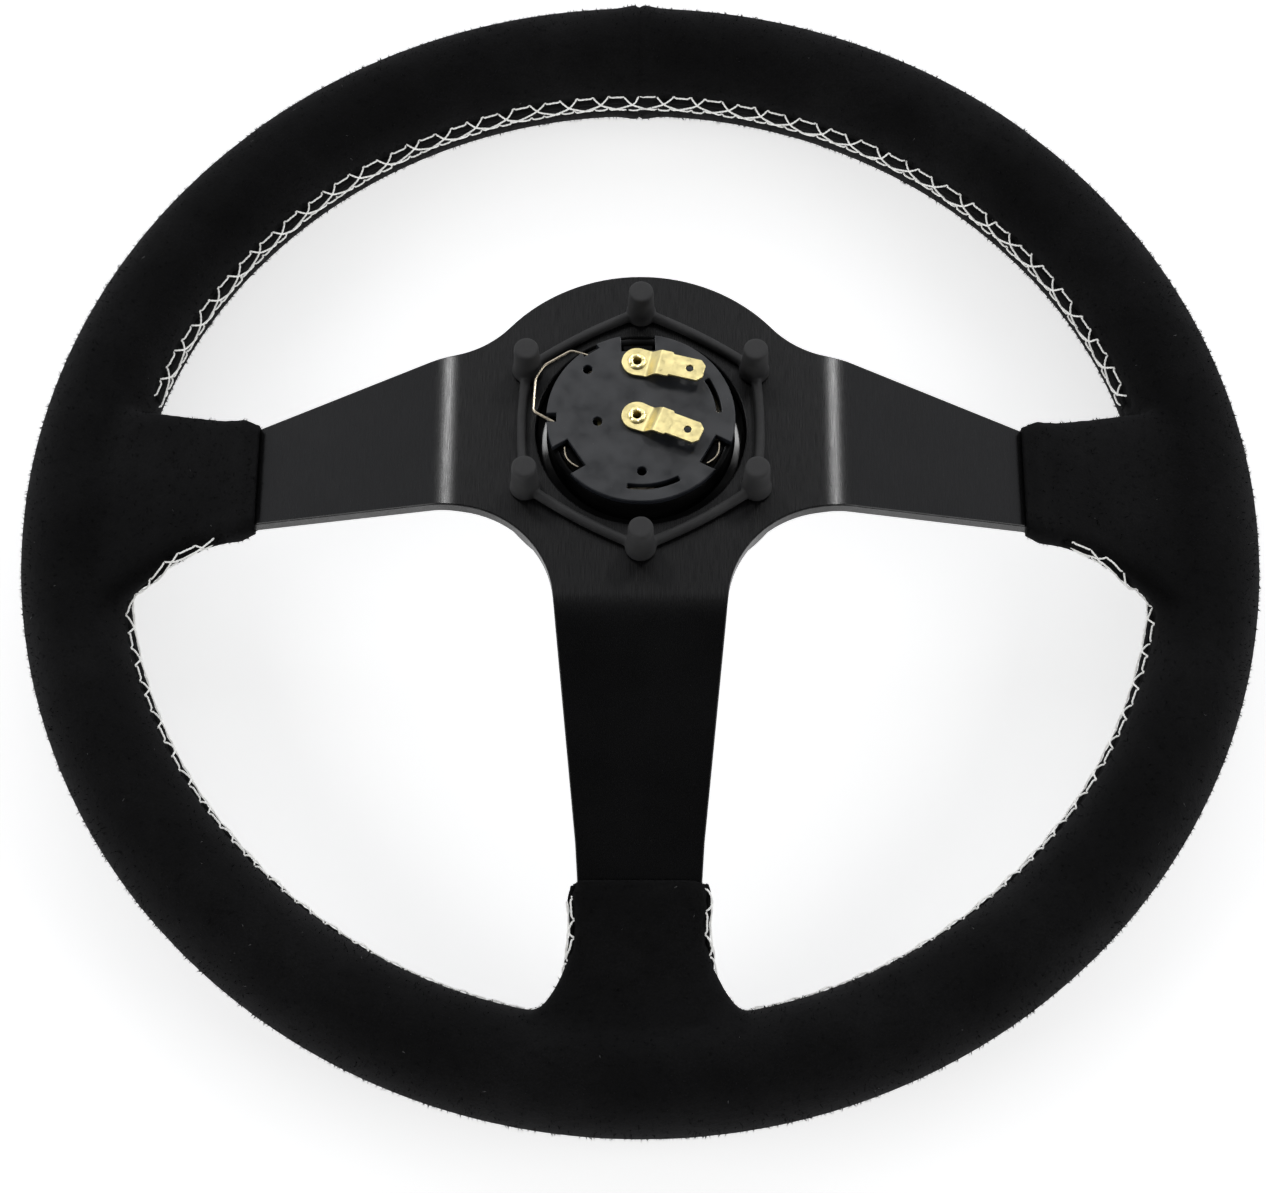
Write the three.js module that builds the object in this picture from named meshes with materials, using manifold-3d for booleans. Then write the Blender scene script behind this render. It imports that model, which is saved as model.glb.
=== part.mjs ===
// A dished three-spoke competition steering wheel with a sprung horn button.
// Millimetres. +Z runs along the steering axis towards the column and +Y points to 12 o'clock.
// The origin is on the axis, in the plane of the rim's front face, which the wheel lies on.

import * as THREE from 'three';
import { mergeVertices } from 'three/addons/utils/BufferGeometryUtils.js';
import Module from 'manifold-3d';

const wasm = await Module();
wasm.setup();

// ---------------------------------------------------------------- driving dimensions

// Clearance between pieces that touch, pass through or seat on each other.
const clearance = 0.3;

// Rim: an oval section of suede leather over foam, round a flat aluminium ring.
const rimOuterDiameter = 350;
const rimSectionWidth = 30.4;
const rimSectionHeight = 36.8;
const suedeThickness = 1.2;
const coreRingWidth = 12;
const coreRingHeight = 6;

// Spoke frame: one folded aluminium plate with a hub disc and arms at 3, 6 and 9 o'clock.
const dish = 80;
const plateThickness = 4;
const hubBendDistance = 52.5;
const hubBendRadius = 14;
const tabBendRadius = 3;
const tabHalfWidth = 13;
const tabOverhang = 7;
const sideArmHalfWidth = 14.5;
const sideArmTaper = 0.143;
const lowerArmHalfWidth = 16.8;
const lowerArmTaper = 0.105;
const hubTopFillet = 27;
const hubLowerFillet = 28;

// Bolt circle: six M5 countersunk screws through the trim ring, the plate and the retainer.
const boltCircleRadius = 35;
const boltCount = 6;
const boltRadius = 2.5;
const boltHeadRadius = 4.8;
const boltHeadDepth = 2.3;
const boltTipHeight = 8.6;
const boltTipChamfer = 0.6;
const boltSocketRadius = 1.75;
const boltSocketDepth = 1.9;
const hubEdgeMargin = 12;
const boreLand = 7;

// Rivets that hold each arm's tab to the core ring.
const rivetRadius = 2.1;
const rivetHeadRadius = 3.6;
const rivetHeadHeight = 1.6;
const rivetOffset = 7;

// Sleeves: the suede runs down each arm to a mouth, and flares into the rim.
const sleeveLength = 54.8;
const sleeveMouthMargin = 2.5;
const sleeveMouthSlack = 0.6;
const sleeveRimReach = 0.9;
const sleeveThicknessGrowth = 7;
const sleeveCornerShare = 0.8;
const foamSleeveStart = 0.45;
const sideSleeveUpper = { flare: 20, power: 0.85 };
const sideSleeveLower = { flare: 28, power: 2.6 };
const lowerSleeveSide = { flare: 40, power: 3 };

// Stitching along the rim's inner edge, between the sleeves.
const stitchThickness = 0.6;
const stitchTopArc = [22.5, 157.5];
const stitchLowerLeftArc = [202.5, 247.5];
const stitchLowerRightArc = [292.5, 337.5];

// Trim ring on the plate's front face.
const trimRingThickness = 3;
const trimRingMargin = 8;
const trimRingInset = 0.8;

// Screw retainer: a rubber hexagon of blind sleeves that caps the screw ends.
const retainerBossHeight = 12.2;
const retainerBossBaseRadius = 4.2;
const retainerBossTopRadius = 3.3;
const retainerBossRounding = 0.7;
const retainerBarWidth = 2.6;
const retainerBarHeight = 2.4;
const retainerBarBow = 1.2;

// Horn button: a cup in the bore, a sprung cap in front and a contact base behind.
const hornBackHeight = 7;
const hornBaseThickness = 2;
const hornTravel = 2.5;
const hornCupGap = 3.1;
const hornCupWall = 1.6;
const hornFlangeMargin = 2;
const hornFlangeThickness = 1.2;
const hornLedgeThickness = 1.2;
const hornLedgeWidth = 6.7;
const hornStemWall = 2.5;
const hornStemRunningFit = 0.6;
const hornCupFrontDepth = 6;
const hornCapSkirtWall = 1.1;
const hornCapSkirtDepth = 4.4;
const hornCapThickness = 4.4;
const hornCapCrown = 2.4;
const emblemRadius = 14.2;
const emblemRingWidth = 2.3;
const emblemThickness = 0.5;
const emblemRingThickness = 0.8;
const springWireRadius = 0.7;
const springTurns = 4;

// Horn contacts, eyelets and brass blade terminals.
const contactThickness = 0.7;
const contactStopGap = 0.4;
const fixedContactRadius = 11.5;
const movingContactInnerRadius = 6;
const movingContactEdge = 1.6;
const terminalThickness = 0.8;
const terminalRingRadius = 4.1;
const terminalShoulderHalfWidth = 3.7;
const terminalShoulderEnd = 9;
const terminalBladeWidth = 6.3;
const terminalLength = 18.2;
const terminalStepStart = 3.4;
const terminalStepEnd = 5.6;
const terminalStepHeight = 2.6;
const terminalHoleDistance = 14.3;
const terminalHoleRadius = 1;
const terminalTipChamfer = 1.4;
const eyeletRadius = 1.8;
const eyeletBoreRadius = 1.1;
const eyeletHeadRadius = 3.1;
const eyeletHeadHeight = 0.5;
const upperTerminal = { x: -1, y: 16, angle: -14 };
const centreTerminal = { x: -1, y: -0.2, angle: -22.5 };

// Openings in the horn base.
const notchCount = 3;
const notchFirstAngle = 92;
const notchWidth = 9;
const notchDepth = 5;
const baseHoleRadius = 1.25;
const baseHoles = [[4.9, 135], [13.4, 187], [8.8, 271]];
const baseSlotWidth = 1.4;
const baseSlotInset = 4.2;
const baseSlotArcs = [[4, 33], [260, 299]];

// Wire clip that snaps over the bore's edge and holds the cup in the plate.
const clipWireRadius = 0.45;
const clipHold = 1;
const clipReach = 2.1;
const clipAngles = {
  upperEnd: 126.8,
  upperBend: 132.4,
  outerBend: 148.4,
  corner: 155.8,
  lowerBend: 175.8,
  lowerEnd: 184.3,
};

// Facets.
const rimSegments = 48;
const rimSectionSegments = 12;
const roundSegments = 32;
const smallSegments = 12;
const cornerSteps = 4;

// ---------------------------------------------------------------- derived dimensions

const rimCentreRadius = (rimOuterDiameter - rimSectionWidth) / 2;
const rimCentreHeight = rimSectionHeight / 2;
const coreRingTop = rimCentreHeight + coreRingHeight / 2;
const tabBottom = coreRingTop + clearance;
const tabTop = tabBottom + plateThickness;
const tabEnd = rimCentreRadius + tabOverhang;
const tabBendDistance = rimCentreRadius - coreRingWidth / 2;
const armSlope = Math.atan2(dish - tabTop, tabBendDistance - hubBendDistance);
const sleeveMouth = rimCentreRadius - sleeveLength;
const plateFront = dish - plateThickness;
const hubRadius = boltCircleRadius + hubEdgeMargin;
const boreRadius = boltCircleRadius - boreLand;
const boltHoleRadius = boltRadius + clearance;
const boltFront = plateFront - clearance - trimRingThickness;
const boltTip = dish + boltTipHeight;

const hornBaseTop = dish + hornBackHeight;
const hornBaseBottom = hornBaseTop - hornBaseThickness;
const hornCupRadius = boreRadius - hornCupGap;
const hornCupBore = hornCupRadius - hornCupWall;
const hornCupBack = hornBaseBottom - clearance;
const hornFlangeBack = plateFront - clearance;
const hornFlangeFront = hornFlangeBack - hornFlangeThickness;
const hornFlangeRadius = boreRadius + hornFlangeMargin;
const hornCupFront = plateFront - hornCupFrontDepth;
const fixedContactTop = hornBaseBottom - clearance;
const fixedContactBottom = fixedContactTop - contactThickness;
const movingContactTop = fixedContactBottom - contactStopGap - hornTravel;
const movingContactBottom = movingContactTop - contactThickness;
const hornLedgeTop = movingContactBottom - clearance;
const hornLedgeBottom = hornLedgeTop - hornLedgeThickness;
const hornLedgeBore = hornCupBore - hornLedgeWidth;
const hornStemRadius = hornLedgeBore - hornStemRunningFit;
const capInnerFace = hornCupFront - hornTravel - 2 * clearance;
const capSkirtInnerRadius = hornCupRadius + 2 * clearance;
const capRadius = capSkirtInnerRadius + hornCapSkirtWall;
const capFront = capInnerFace - hornCapThickness;

// ---------------------------------------------------------------- geometry helpers

const degrees = THREE.MathUtils.degToRad;

// A point at a radius and an angle in degrees, counterclockwise from +X.
function polar(radius, angle, z = 0) {
  return new THREE.Vector3(radius * Math.cos(degrees(angle)), radius * Math.sin(degrees(angle)), z);
}

// A closed three.js geometry as a solid, with its faces turned outwards.
function toSolid(geometry) {
  const bare = new THREE.BufferGeometry();
  bare.setAttribute('position', geometry.getAttribute('position'));
  bare.setIndex(geometry.index);
  const merged = mergeVertices(bare, 1e-3);
  const position = merged.getAttribute('position');
  const triangles = [];
  let volume = 0;
  for (let i = 0; i < merged.index.count; i += 3) {
    const corners = [0, 1, 2].map((k) => merged.index.getX(i + k));
    if (new Set(corners).size === 3) {
      const [a, b, c] = corners.map((k) => new THREE.Vector3().fromBufferAttribute(position, k));
      volume += a.dot(b.cross(c));
      triangles.push(corners);
    }
  }
  const outward = volume > 0 ? triangles : triangles.map(([a, b, c]) => [a, c, b]);
  const triVerts = new Uint32Array(outward.flat());
  const vertProperties = new Float32Array(position.array);
  return new wasm.Manifold(new wasm.Mesh({ numProp: 3, vertProperties, triVerts }));
}

// A solid as a three.js geometry.
function toGeometry(solid) {
  const { vertProperties, triVerts, numProp } = solid.getMesh();
  const geometry = new THREE.BufferGeometry();
  geometry.setAttribute('position', new THREE.BufferAttribute(vertProperties, numProp));
  geometry.setIndex(new THREE.BufferAttribute(triVerts, 1));
  geometry.computeVertexNormals();
  return geometry;
}

// A profile of [radius, z] points turned about the Z axis.
function turned(profile, segments = roundSegments) {
  const points = profile.map(([radius, z]) => new THREE.Vector2(radius, z));
  const geometry = new THREE.LatheGeometry(points, segments);
  geometry.rotateX(Math.PI / 2);
  return toSolid(geometry);
}

// A ring of rectangular section.
function turnedRing(innerRadius, outerRadius, bottom, top, segments = roundSegments) {
  const inner = [[innerRadius, top], [innerRadius, bottom]];
  return turned([[innerRadius, bottom], [outerRadius, bottom], [outerRadius, top], ...inner], segments);
}

// A solid cylinder about the point [x, y].
function pin(radius, bottom, top, x = 0, y = 0, segments = smallSegments) {
  const profile = [[0, bottom], [radius, bottom], [radius, top], [0, top]];
  return turned(profile, segments).translate([x, y, 0]);
}

// An outline drawn in the XY plane, carried from one height to another.
function prism(shape, bottom, top) {
  const geometry = new THREE.ExtrudeGeometry(shape, {
    depth: top - bottom,
    bevelEnabled: false,
    curveSegments: cornerSteps,
  });
  geometry.translate(0, 0, bottom);
  return toSolid(geometry);
}

// A side view drawn in the XZ plane, carried along Y to half its width on each side.
function strip(shape, halfWidth) {
  const geometry = new THREE.ExtrudeGeometry(shape, {
    depth: 2 * halfWidth,
    bevelEnabled: false,
    curveSegments: cornerSteps,
  });
  geometry.translate(0, 0, -halfWidth);
  geometry.rotateX(Math.PI / 2);
  return toSolid(geometry);
}

// A round wire along a curve.
function wire(curve, radius, steps, sides = 8) {
  const circle = new THREE.EllipseCurve(0, 0, radius, radius).getPoints(sides);
  const section = new THREE.Shape(circle.slice(0, sides));
  return toSolid(new THREE.ExtrudeGeometry(section, { steps, extrudePath: curve, bevelEnabled: false }));
}

// A skin over matching closed sections, with flat ends. Each section is convex.
function loft(sections) {
  const sides = sections[0].length;
  const indices = [];
  for (let row = 0; row + 1 < sections.length; row += 1) {
    for (let side = 0; side < sides; side += 1) {
      const a = row * sides + side;
      const b = row * sides + ((side + 1) % sides);
      indices.push(a, b, b + sides, a, b + sides, a + sides);
    }
  }
  const lastRow = (sections.length - 1) * sides;
  for (let side = 1; side + 1 < sides; side += 1) {
    indices.push(0, side + 1, side, lastRow, lastRow + side, lastRow + side + 1);
  }
  const geometry = new THREE.BufferGeometry().setFromPoints(sections.flat());
  geometry.setIndex(indices);
  return toSolid(geometry);
}

// The arc of a circle from one angle to another, in radians, as points.
function arcPoints(centre, radius, from, sweep, steps = cornerSteps) {
  return Array.from({ length: steps + 1 }, (_, k) => {
    const angle = from + (sweep * k) / steps;
    return new THREE.Vector2(centre.x + radius * Math.cos(angle), centre.y + radius * Math.sin(angle));
  });
}

// The points of a closed outline through corners [x, y, radius], each rounded to its radius.
function roundedPoints(corners) {
  return corners.flatMap(([x, y, radius = 0], i) => {
    const corner = new THREE.Vector2(x, y);
    if (radius === 0) {
      return [corner];
    }
    const before = new THREE.Vector2(...corners.at(i - 1)).sub(corner).normalize();
    const after = new THREE.Vector2(...corners[(i + 1) % corners.length]).sub(corner).normalize();
    const halfAngle = Math.acos(before.dot(after)) / 2;
    const bisector = before.clone().add(after).normalize();
    const centre = corner.clone().addScaledVector(bisector, radius / Math.sin(halfAngle));
    const setback = radius / Math.tan(halfAngle);
    const from = corner.clone().addScaledVector(before, setback).sub(centre).angle();
    const to = corner.clone().addScaledVector(after, setback).sub(centre).angle();
    const sweep = THREE.MathUtils.euclideanModulo(to - from + Math.PI, 2 * Math.PI) - Math.PI;
    return arcPoints(centre, radius, from, sweep);
  });
}

function roundedShape(corners) {
  return new THREE.Shape(roundedPoints(corners));
}

function circleShape(radius, x = 0, y = 0) {
  return new THREE.Shape().absarc(x, y, radius, 0, 2 * Math.PI);
}

// ---------------------------------------------------------------- materials

const paints = {
  suede: { color: 0x17171a, roughness: 0.95, metalness: 0 },
  foam: { color: 0x303032, roughness: 0.9, metalness: 0 },
  thread: { color: 0xe9e9e4, roughness: 0.8, metalness: 0 },
  anodised: { color: 0x2b2b2d, roughness: 0.45, metalness: 0.7 },
  aluminium: { color: 0xb8babd, roughness: 0.35, metalness: 1 },
  steel: { color: 0xd2d4d6, roughness: 0.25, metalness: 1 },
  blackSteel: { color: 0x232325, roughness: 0.4, metalness: 0.8 },
  rubber: { color: 0x4a4b4c, roughness: 0.85, metalness: 0 },
  plastic: { color: 0x0e0e10, roughness: 0.2, metalness: 0 },
  hornBase: { color: 0x464a52, roughness: 0.5, metalness: 0.3 },
  brass: { color: 0xe6d58a, roughness: 0.3, metalness: 1 },
};

const group = new THREE.Group();

function addMesh(name, geometry, paint) {
  const mesh = new THREE.Mesh(geometry, new THREE.MeshStandardMaterial(paints[paint]));
  mesh.name = name;
  group.add(mesh);
  return mesh;
}

function addSolid(name, solid, paint) {
  return addMesh(name, toGeometry(solid), paint);
}

// ---------------------------------------------------------------- spoke frame

// The height of an arm's middle plane at a distance from the axis.
function armMiddle(distance) {
  const back = dish - (distance - hubBendDistance) * Math.tan(armSlope);
  return back - plateThickness / 2 / Math.cos(armSlope);
}

// Side view of the folded plate: level at the hub, sloping out, level again at the tabs.
// It can be grown on all sides, for the cavity that clears it.
function foldedPlateShape(growth = 0) {
  const shift = Math.tan(armSlope / 2);
  const depth = plateThickness + growth;
  const back = [
    [tabEnd + growth, tabTop + growth],
    [tabBendDistance + growth * shift, tabTop + growth, tabBendRadius],
    [hubBendDistance + growth * shift, dish + growth, hubBendRadius + depth],
  ];
  const front = [
    [tabEnd + growth, tabBottom - growth],
    [tabBendDistance - depth * shift, tabBottom - growth, tabBendRadius + depth],
    [hubBendDistance - depth * shift, plateFront - growth, hubBendRadius],
  ];
  const mirror = (side) => side.map(([x, z, radius]) => [-x, z, radius]);
  return roundedShape([...back, ...mirror(back).reverse(), ...mirror(front), ...front.reverse()]);
}

// The half width of an arm at a distance from the axis: it tapers to the sleeve and on to the tab.
const sideArmEdge = (distance) => sideArmHalfWidth + sideArmTaper * (sleeveMouth - distance);
const lowerArmEdge = (distance) => lowerArmHalfWidth + lowerArmTaper * (sleeveMouth - distance);

// Where the lower edge of a side arm and the side of the lower arm would cross.
function armCrossing() {
  const determinant = 1 - sideArmTaper * lowerArmTaper;
  const x = (lowerArmEdge(0) - lowerArmTaper * sideArmEdge(0)) / determinant;
  return [x, -sideArmEdge(x)];
}

// The concave fillet from the top edge of the right arm into the hub disc, then the disc to 12 o'clock.
function hubTopQuarter() {
  const direction = new THREE.Vector2(1, -sideArmTaper).normalize();
  const normal = new THREE.Vector2(-direction.y, direction.x);
  const centreReach = hubRadius + hubTopFillet;
  const centreHeight = normal.y * sideArmEdge(0) + hubTopFillet;
  const along = Math.sqrt(centreReach ** 2 - centreHeight ** 2);
  const centre = normal.clone().multiplyScalar(centreHeight).addScaledVector(direction, along);
  const from = normal.clone().negate().angle();
  const fillet = arcPoints(centre, hubTopFillet, from, centre.angle() + Math.PI - from, 2 * cornerSteps);
  const discFrom = centre.angle();
  const disc = arcPoints(new THREE.Vector2(), hubRadius, discFrom, Math.PI / 2 - discFrom, 2 * cornerSteps);
  return [...fillet, ...disc.slice(1)];
}

function spokeFrameOutline() {
  const [crossX, crossY] = armCrossing();
  const topRight = hubTopQuarter();
  const topLeft = topRight.slice(0, -1).reverse().map(({ x, y }) => new THREE.Vector2(-x, y));
  const corners = [
    [-tabEnd, tabHalfWidth],
    [-tabEnd, -tabHalfWidth],
    [-sleeveMouth, -sideArmHalfWidth],
    [-crossX, crossY, hubLowerFillet],
    [-lowerArmHalfWidth, -sleeveMouth],
    [-tabHalfWidth, -tabEnd],
    [tabHalfWidth, -tabEnd],
    [lowerArmHalfWidth, -sleeveMouth],
    [crossX, crossY, hubLowerFillet],
    [sleeveMouth, -sideArmHalfWidth],
    [tabEnd, -tabHalfWidth],
    [tabEnd, tabHalfWidth],
    [sleeveMouth, sideArmHalfWidth],
  ];
  const leftEdge = new THREE.Vector2(-sleeveMouth, sideArmHalfWidth);
  return new THREE.Shape([...topRight, ...topLeft, leftEdge, ...roundedPoints(corners)]);
}

const armAngles = { right: 0, left: 180, lower: 270 };
const rivetPlaces = Object.entries(armAngles).flatMap(([arm, angle]) => {
  const middle = polar(rimCentreRadius, angle);
  return [-rivetOffset, rivetOffset].map((offset, i) => ({
    name: `spoke_rivet_${arm}_${i + 1}`,
    centre: middle.clone().add(polar(offset, angle + 90)),
  }));
});
const boltPlaces = Array.from({ length: boltCount }, (_, i) => {
  return polar(boltCircleRadius, 90 - (i * 360) / boltCount);
});

function buildSpokeFrame() {
  const outline = spokeFrameOutline();
  const reach = tabEnd + plateThickness;
  const window = (left, right, low, high) => {
    return roundedShape([[left, low], [right, low], [right, high], [left, high]]);
  };
  const sideWindow = window(-reach, reach, -hubBendDistance, hubBendDistance);
  const lowerWindow = window(-hubBendDistance, hubBendDistance, -reach, 0);
  const folded = strip(foldedPlateShape(), reach);
  const side = folded.intersect(prism(sideWindow, 0, dish + 1));
  const lower = folded.rotate([0, 0, -90]).intersect(prism(lowerWindow, 0, dish + 1));
  const bore = pin(boreRadius, plateFront - 1, dish + 1, 0, 0, roundSegments);
  let frame = side.add(lower).intersect(prism(outline, 0, dish + 1)).subtract(bore);
  boltPlaces.forEach(({ x, y }) => {
    frame = frame.subtract(pin(boltHoleRadius, plateFront - 1, dish + 1, x, y));
  });
  rivetPlaces.forEach(({ centre: { x, y } }) => {
    frame = frame.subtract(pin(rivetRadius + clearance, tabBottom - 1, tabTop + 1, x, y));
  });
  return frame;
}

addSolid('spoke_frame', buildSpokeFrame(), 'anodised');

// ---------------------------------------------------------------- core ring and rivets

function buildCoreRing() {
  const inner = rimCentreRadius - coreRingWidth / 2;
  const bottom = coreRingTop - coreRingHeight;
  let ring = turnedRing(inner, inner + coreRingWidth, bottom, coreRingTop, rimSegments);
  rivetPlaces.forEach(({ centre: { x, y } }) => {
    ring = ring.subtract(pin(rivetRadius + clearance, bottom - 1, coreRingTop + 1, x, y));
  });
  return ring;
}

addSolid('rim_core_ring', buildCoreRing(), 'aluminium');

const rivetBack = tabTop + clearance;
const rivetFront = coreRingTop - coreRingHeight - clearance;

function buildRivet() {
  return turned([
    [0, rivetFront - rivetHeadHeight],
    [rivetHeadRadius * 0.7, rivetFront - rivetHeadHeight],
    [rivetHeadRadius, rivetFront],
    [rivetRadius, rivetFront],
    [rivetRadius, rivetBack],
    [rivetHeadRadius, rivetBack],
    [rivetHeadRadius * 0.7, rivetBack + rivetHeadHeight],
    [0, rivetBack + rivetHeadHeight],
  ], smallSegments);
}

const rivetGeometry = toGeometry(buildRivet());
rivetPlaces.forEach(({ name, centre }) => {
  addMesh(name, rivetGeometry, 'aluminium').position.copy(centre);
});

// ---------------------------------------------------------------- rim foam and suede cover

// The rim's oval ring, with its section made smaller by an inset.
function rimRing(inset) {
  const ellipse = Array.from({ length: rimSectionSegments + 1 }, (_, i) => {
    const angle = ((i % rimSectionSegments) * 2 * Math.PI) / rimSectionSegments;
    return [
      rimCentreRadius + (rimSectionWidth / 2 - inset) * Math.cos(angle),
      rimCentreHeight + (rimSectionHeight / 2 - inset) * Math.sin(angle),
    ];
  });
  return turned(ellipse, rimSegments);
}

// The sleeve over the right arm, as rounded sections from its mouth out into the rim.
// The two edges flare by their own amounts: positive Y first.
function sleeve(inset, start, armHalfWidth, [upper, lower]) {
  const armHalfHeight = plateThickness / 2 / Math.cos(armSlope);
  const mouthHalfHeight = armHalfHeight + clearance + suedeThickness + sleeveMouthSlack;
  const rows = 8;
  const sections = Array.from({ length: rows + 1 }, (_, row) => {
    const share = start + ((sleeveRimReach - start) * row) / rows;
    const flare = Math.max(share, 0);
    const distance = sleeveMouth + share * sleeveLength;
    const mouthHalfWidth = armHalfWidth - inset;
    const top = mouthHalfWidth + upper.flare * flare ** upper.power;
    const bottom = mouthHalfWidth + lower.flare * flare ** lower.power;
    const halfHeight = mouthHalfHeight + sleeveThicknessGrowth * flare ** 2.5 - inset;
    const corner = halfHeight * sleeveCornerShare;
    const middle = armMiddle(distance);
    return roundedPoints([
      [top + sleeveMouthMargin, halfHeight, corner],
      [-bottom - sleeveMouthMargin, halfHeight, corner],
      [-bottom - sleeveMouthMargin, -halfHeight, corner],
      [top + sleeveMouthMargin, -halfHeight, corner],
    ]).map(({ x, y }) => new THREE.Vector3(distance, x, middle + y));
  });
  return loft(sections);
}

// The rim and its three sleeves in one skin, made smaller by an inset.
function rimWithSleeves(inset, start) {
  const right = sleeve(inset, start, sideArmHalfWidth, [sideSleeveUpper, sideSleeveLower]);
  const left = right.mirror([1, 0, 0]);
  const lowerFlares = [lowerSleeveSide, lowerSleeveSide];
  const lower = sleeve(inset, start, lowerArmHalfWidth, lowerFlares).rotate([0, 0, -90]);
  return rimRing(inset).add(right).add(left).add(lower);
}

// The hollow in the foam: the core ring, the arms and their rivets, with clearance all round.
function foamCavity() {
  const inner = rimCentreRadius - coreRingWidth / 2 - clearance;
  const outer = rimCentreRadius + coreRingWidth / 2 + clearance;
  const bottom = coreRingTop - coreRingHeight - clearance;
  let cavity = turnedRing(inner, outer, bottom, coreRingTop + clearance, rimSegments);
  const reach = tabEnd + clearance;
  const halfTab = tabHalfWidth + clearance;
  Object.entries(armAngles).forEach(([arm, angle]) => {
    const halfMouth = (arm === 'lower' ? lowerArmHalfWidth : sideArmHalfWidth) + clearance;
    const plan = roundedShape([
      [reach, halfTab],
      [sleeveMouth, halfMouth],
      [sleeveMouth, -halfMouth],
      [reach, -halfTab],
    ]);
    const arms = strip(foldedPlateShape(clearance), reach).intersect(prism(plan, 0, dish));
    cavity = cavity.add(arms.rotate([0, 0, angle]));
  });
  const room = rivetHeadHeight + clearance;
  rivetPlaces.forEach(({ centre: { x, y } }) => {
    cavity = cavity.add(pin(rivetHeadRadius + 2 * clearance, rivetFront - room, rivetBack + room, x, y));
  });
  return cavity;
}

const foam = rimWithSleeves(suedeThickness + clearance, foamSleeveStart).subtract(foamCavity());
addSolid('rim_foam', foam, 'foam');

const mouthOverrun = -0.05;
const cover = rimWithSleeves(0, 0).subtract(rimWithSleeves(suedeThickness, mouthOverrun));
addSolid('suede_cover', cover, 'suede');

// ---------------------------------------------------------------- stitching

// A flat band of cross stitches on the facet of the rim that faces inwards and towards the column.
function stitchBand([from, to]) {
  const facet = (2 * Math.PI) / rimSectionSegments;
  const lift = (extra, angle) => new THREE.Vector2(
    rimCentreRadius - (rimSectionWidth / 2 + extra) * Math.cos(angle),
    rimCentreHeight + (rimSectionHeight / 2 + extra) * Math.sin(angle),
  );
  const skin = 2 * clearance;
  const corners = [
    lift(skin, 0),
    lift(skin, facet),
    lift(skin + stitchThickness, facet),
    lift(skin + stitchThickness, 0),
  ];
  const steps = ((to - from) * rimSegments) / 360;
  return loft(Array.from({ length: steps + 1 }, (_, step) => {
    const angle = from + (step * 360) / rimSegments;
    return corners.map(({ x, y }) => polar(x, angle, y));
  }));
}

addSolid('stitching_top', stitchBand(stitchTopArc), 'thread');
addSolid('stitching_lower_left', stitchBand(stitchLowerLeftArc), 'thread');
addSolid('stitching_lower_right', stitchBand(stitchLowerRightArc), 'thread');

// ---------------------------------------------------------------- trim ring, screws and retainer

// A countersunk screw, with its head at the front. Growing it gives the hole that clears it.
function screwBody(growth, tip) {
  const headBottom = boltFront + trimRingInset * 0.25;
  return [
    [0, headBottom],
    [boltHeadRadius + growth, headBottom],
    [boltRadius + growth, headBottom + boltHeadDepth],
    [boltRadius + growth, tip - boltTipChamfer],
    [boltRadius + growth - boltTipChamfer, tip],
    [0, tip],
  ];
}

function buildTrimRing() {
  const back = plateFront - clearance;
  const seatRadius = hornFlangeRadius + clearance;
  const seatFront = hornFlangeFront - clearance;
  const openRadius = capRadius + 2 * clearance;
  const outerRadius = boltCircleRadius + trimRingMargin;
  let ring = turned([
    [openRadius, boltFront],
    [outerRadius - trimRingInset, boltFront],
    [outerRadius, boltFront + trimRingInset],
    [outerRadius, back],
    [seatRadius, back],
    [seatRadius, seatFront],
    [openRadius, seatFront],
    [openRadius, boltFront],
  ]);
  const hole = turned(screwBody(clearance, dish), smallSegments);
  const mouth = pin(boltHeadRadius + clearance, boltFront - 1, boltFront + trimRingInset * 0.25);
  boltPlaces.forEach(({ x, y }) => {
    ring = ring.subtract(hole.add(mouth).translate([x, y, 0]));
  });
  return ring;
}

addSolid('trim_ring', buildTrimRing(), 'anodised');

const socket = roundedShape(Array.from({ length: 6 }, (_, i) => {
  const { x, y } = polar(boltSocketRadius, 60 * i);
  return [x, y];
}));
const screw = turned(screwBody(0, boltTip), smallSegments)
  .subtract(prism(socket, boltFront - 1, boltFront + boltSocketDepth));
const screwGeometry = toGeometry(screw);
boltPlaces.forEach((place, i) => {
  addMesh(`hub_screw_${i + 1}`, screwGeometry, 'blackSteel').position.copy(place);
});

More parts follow.
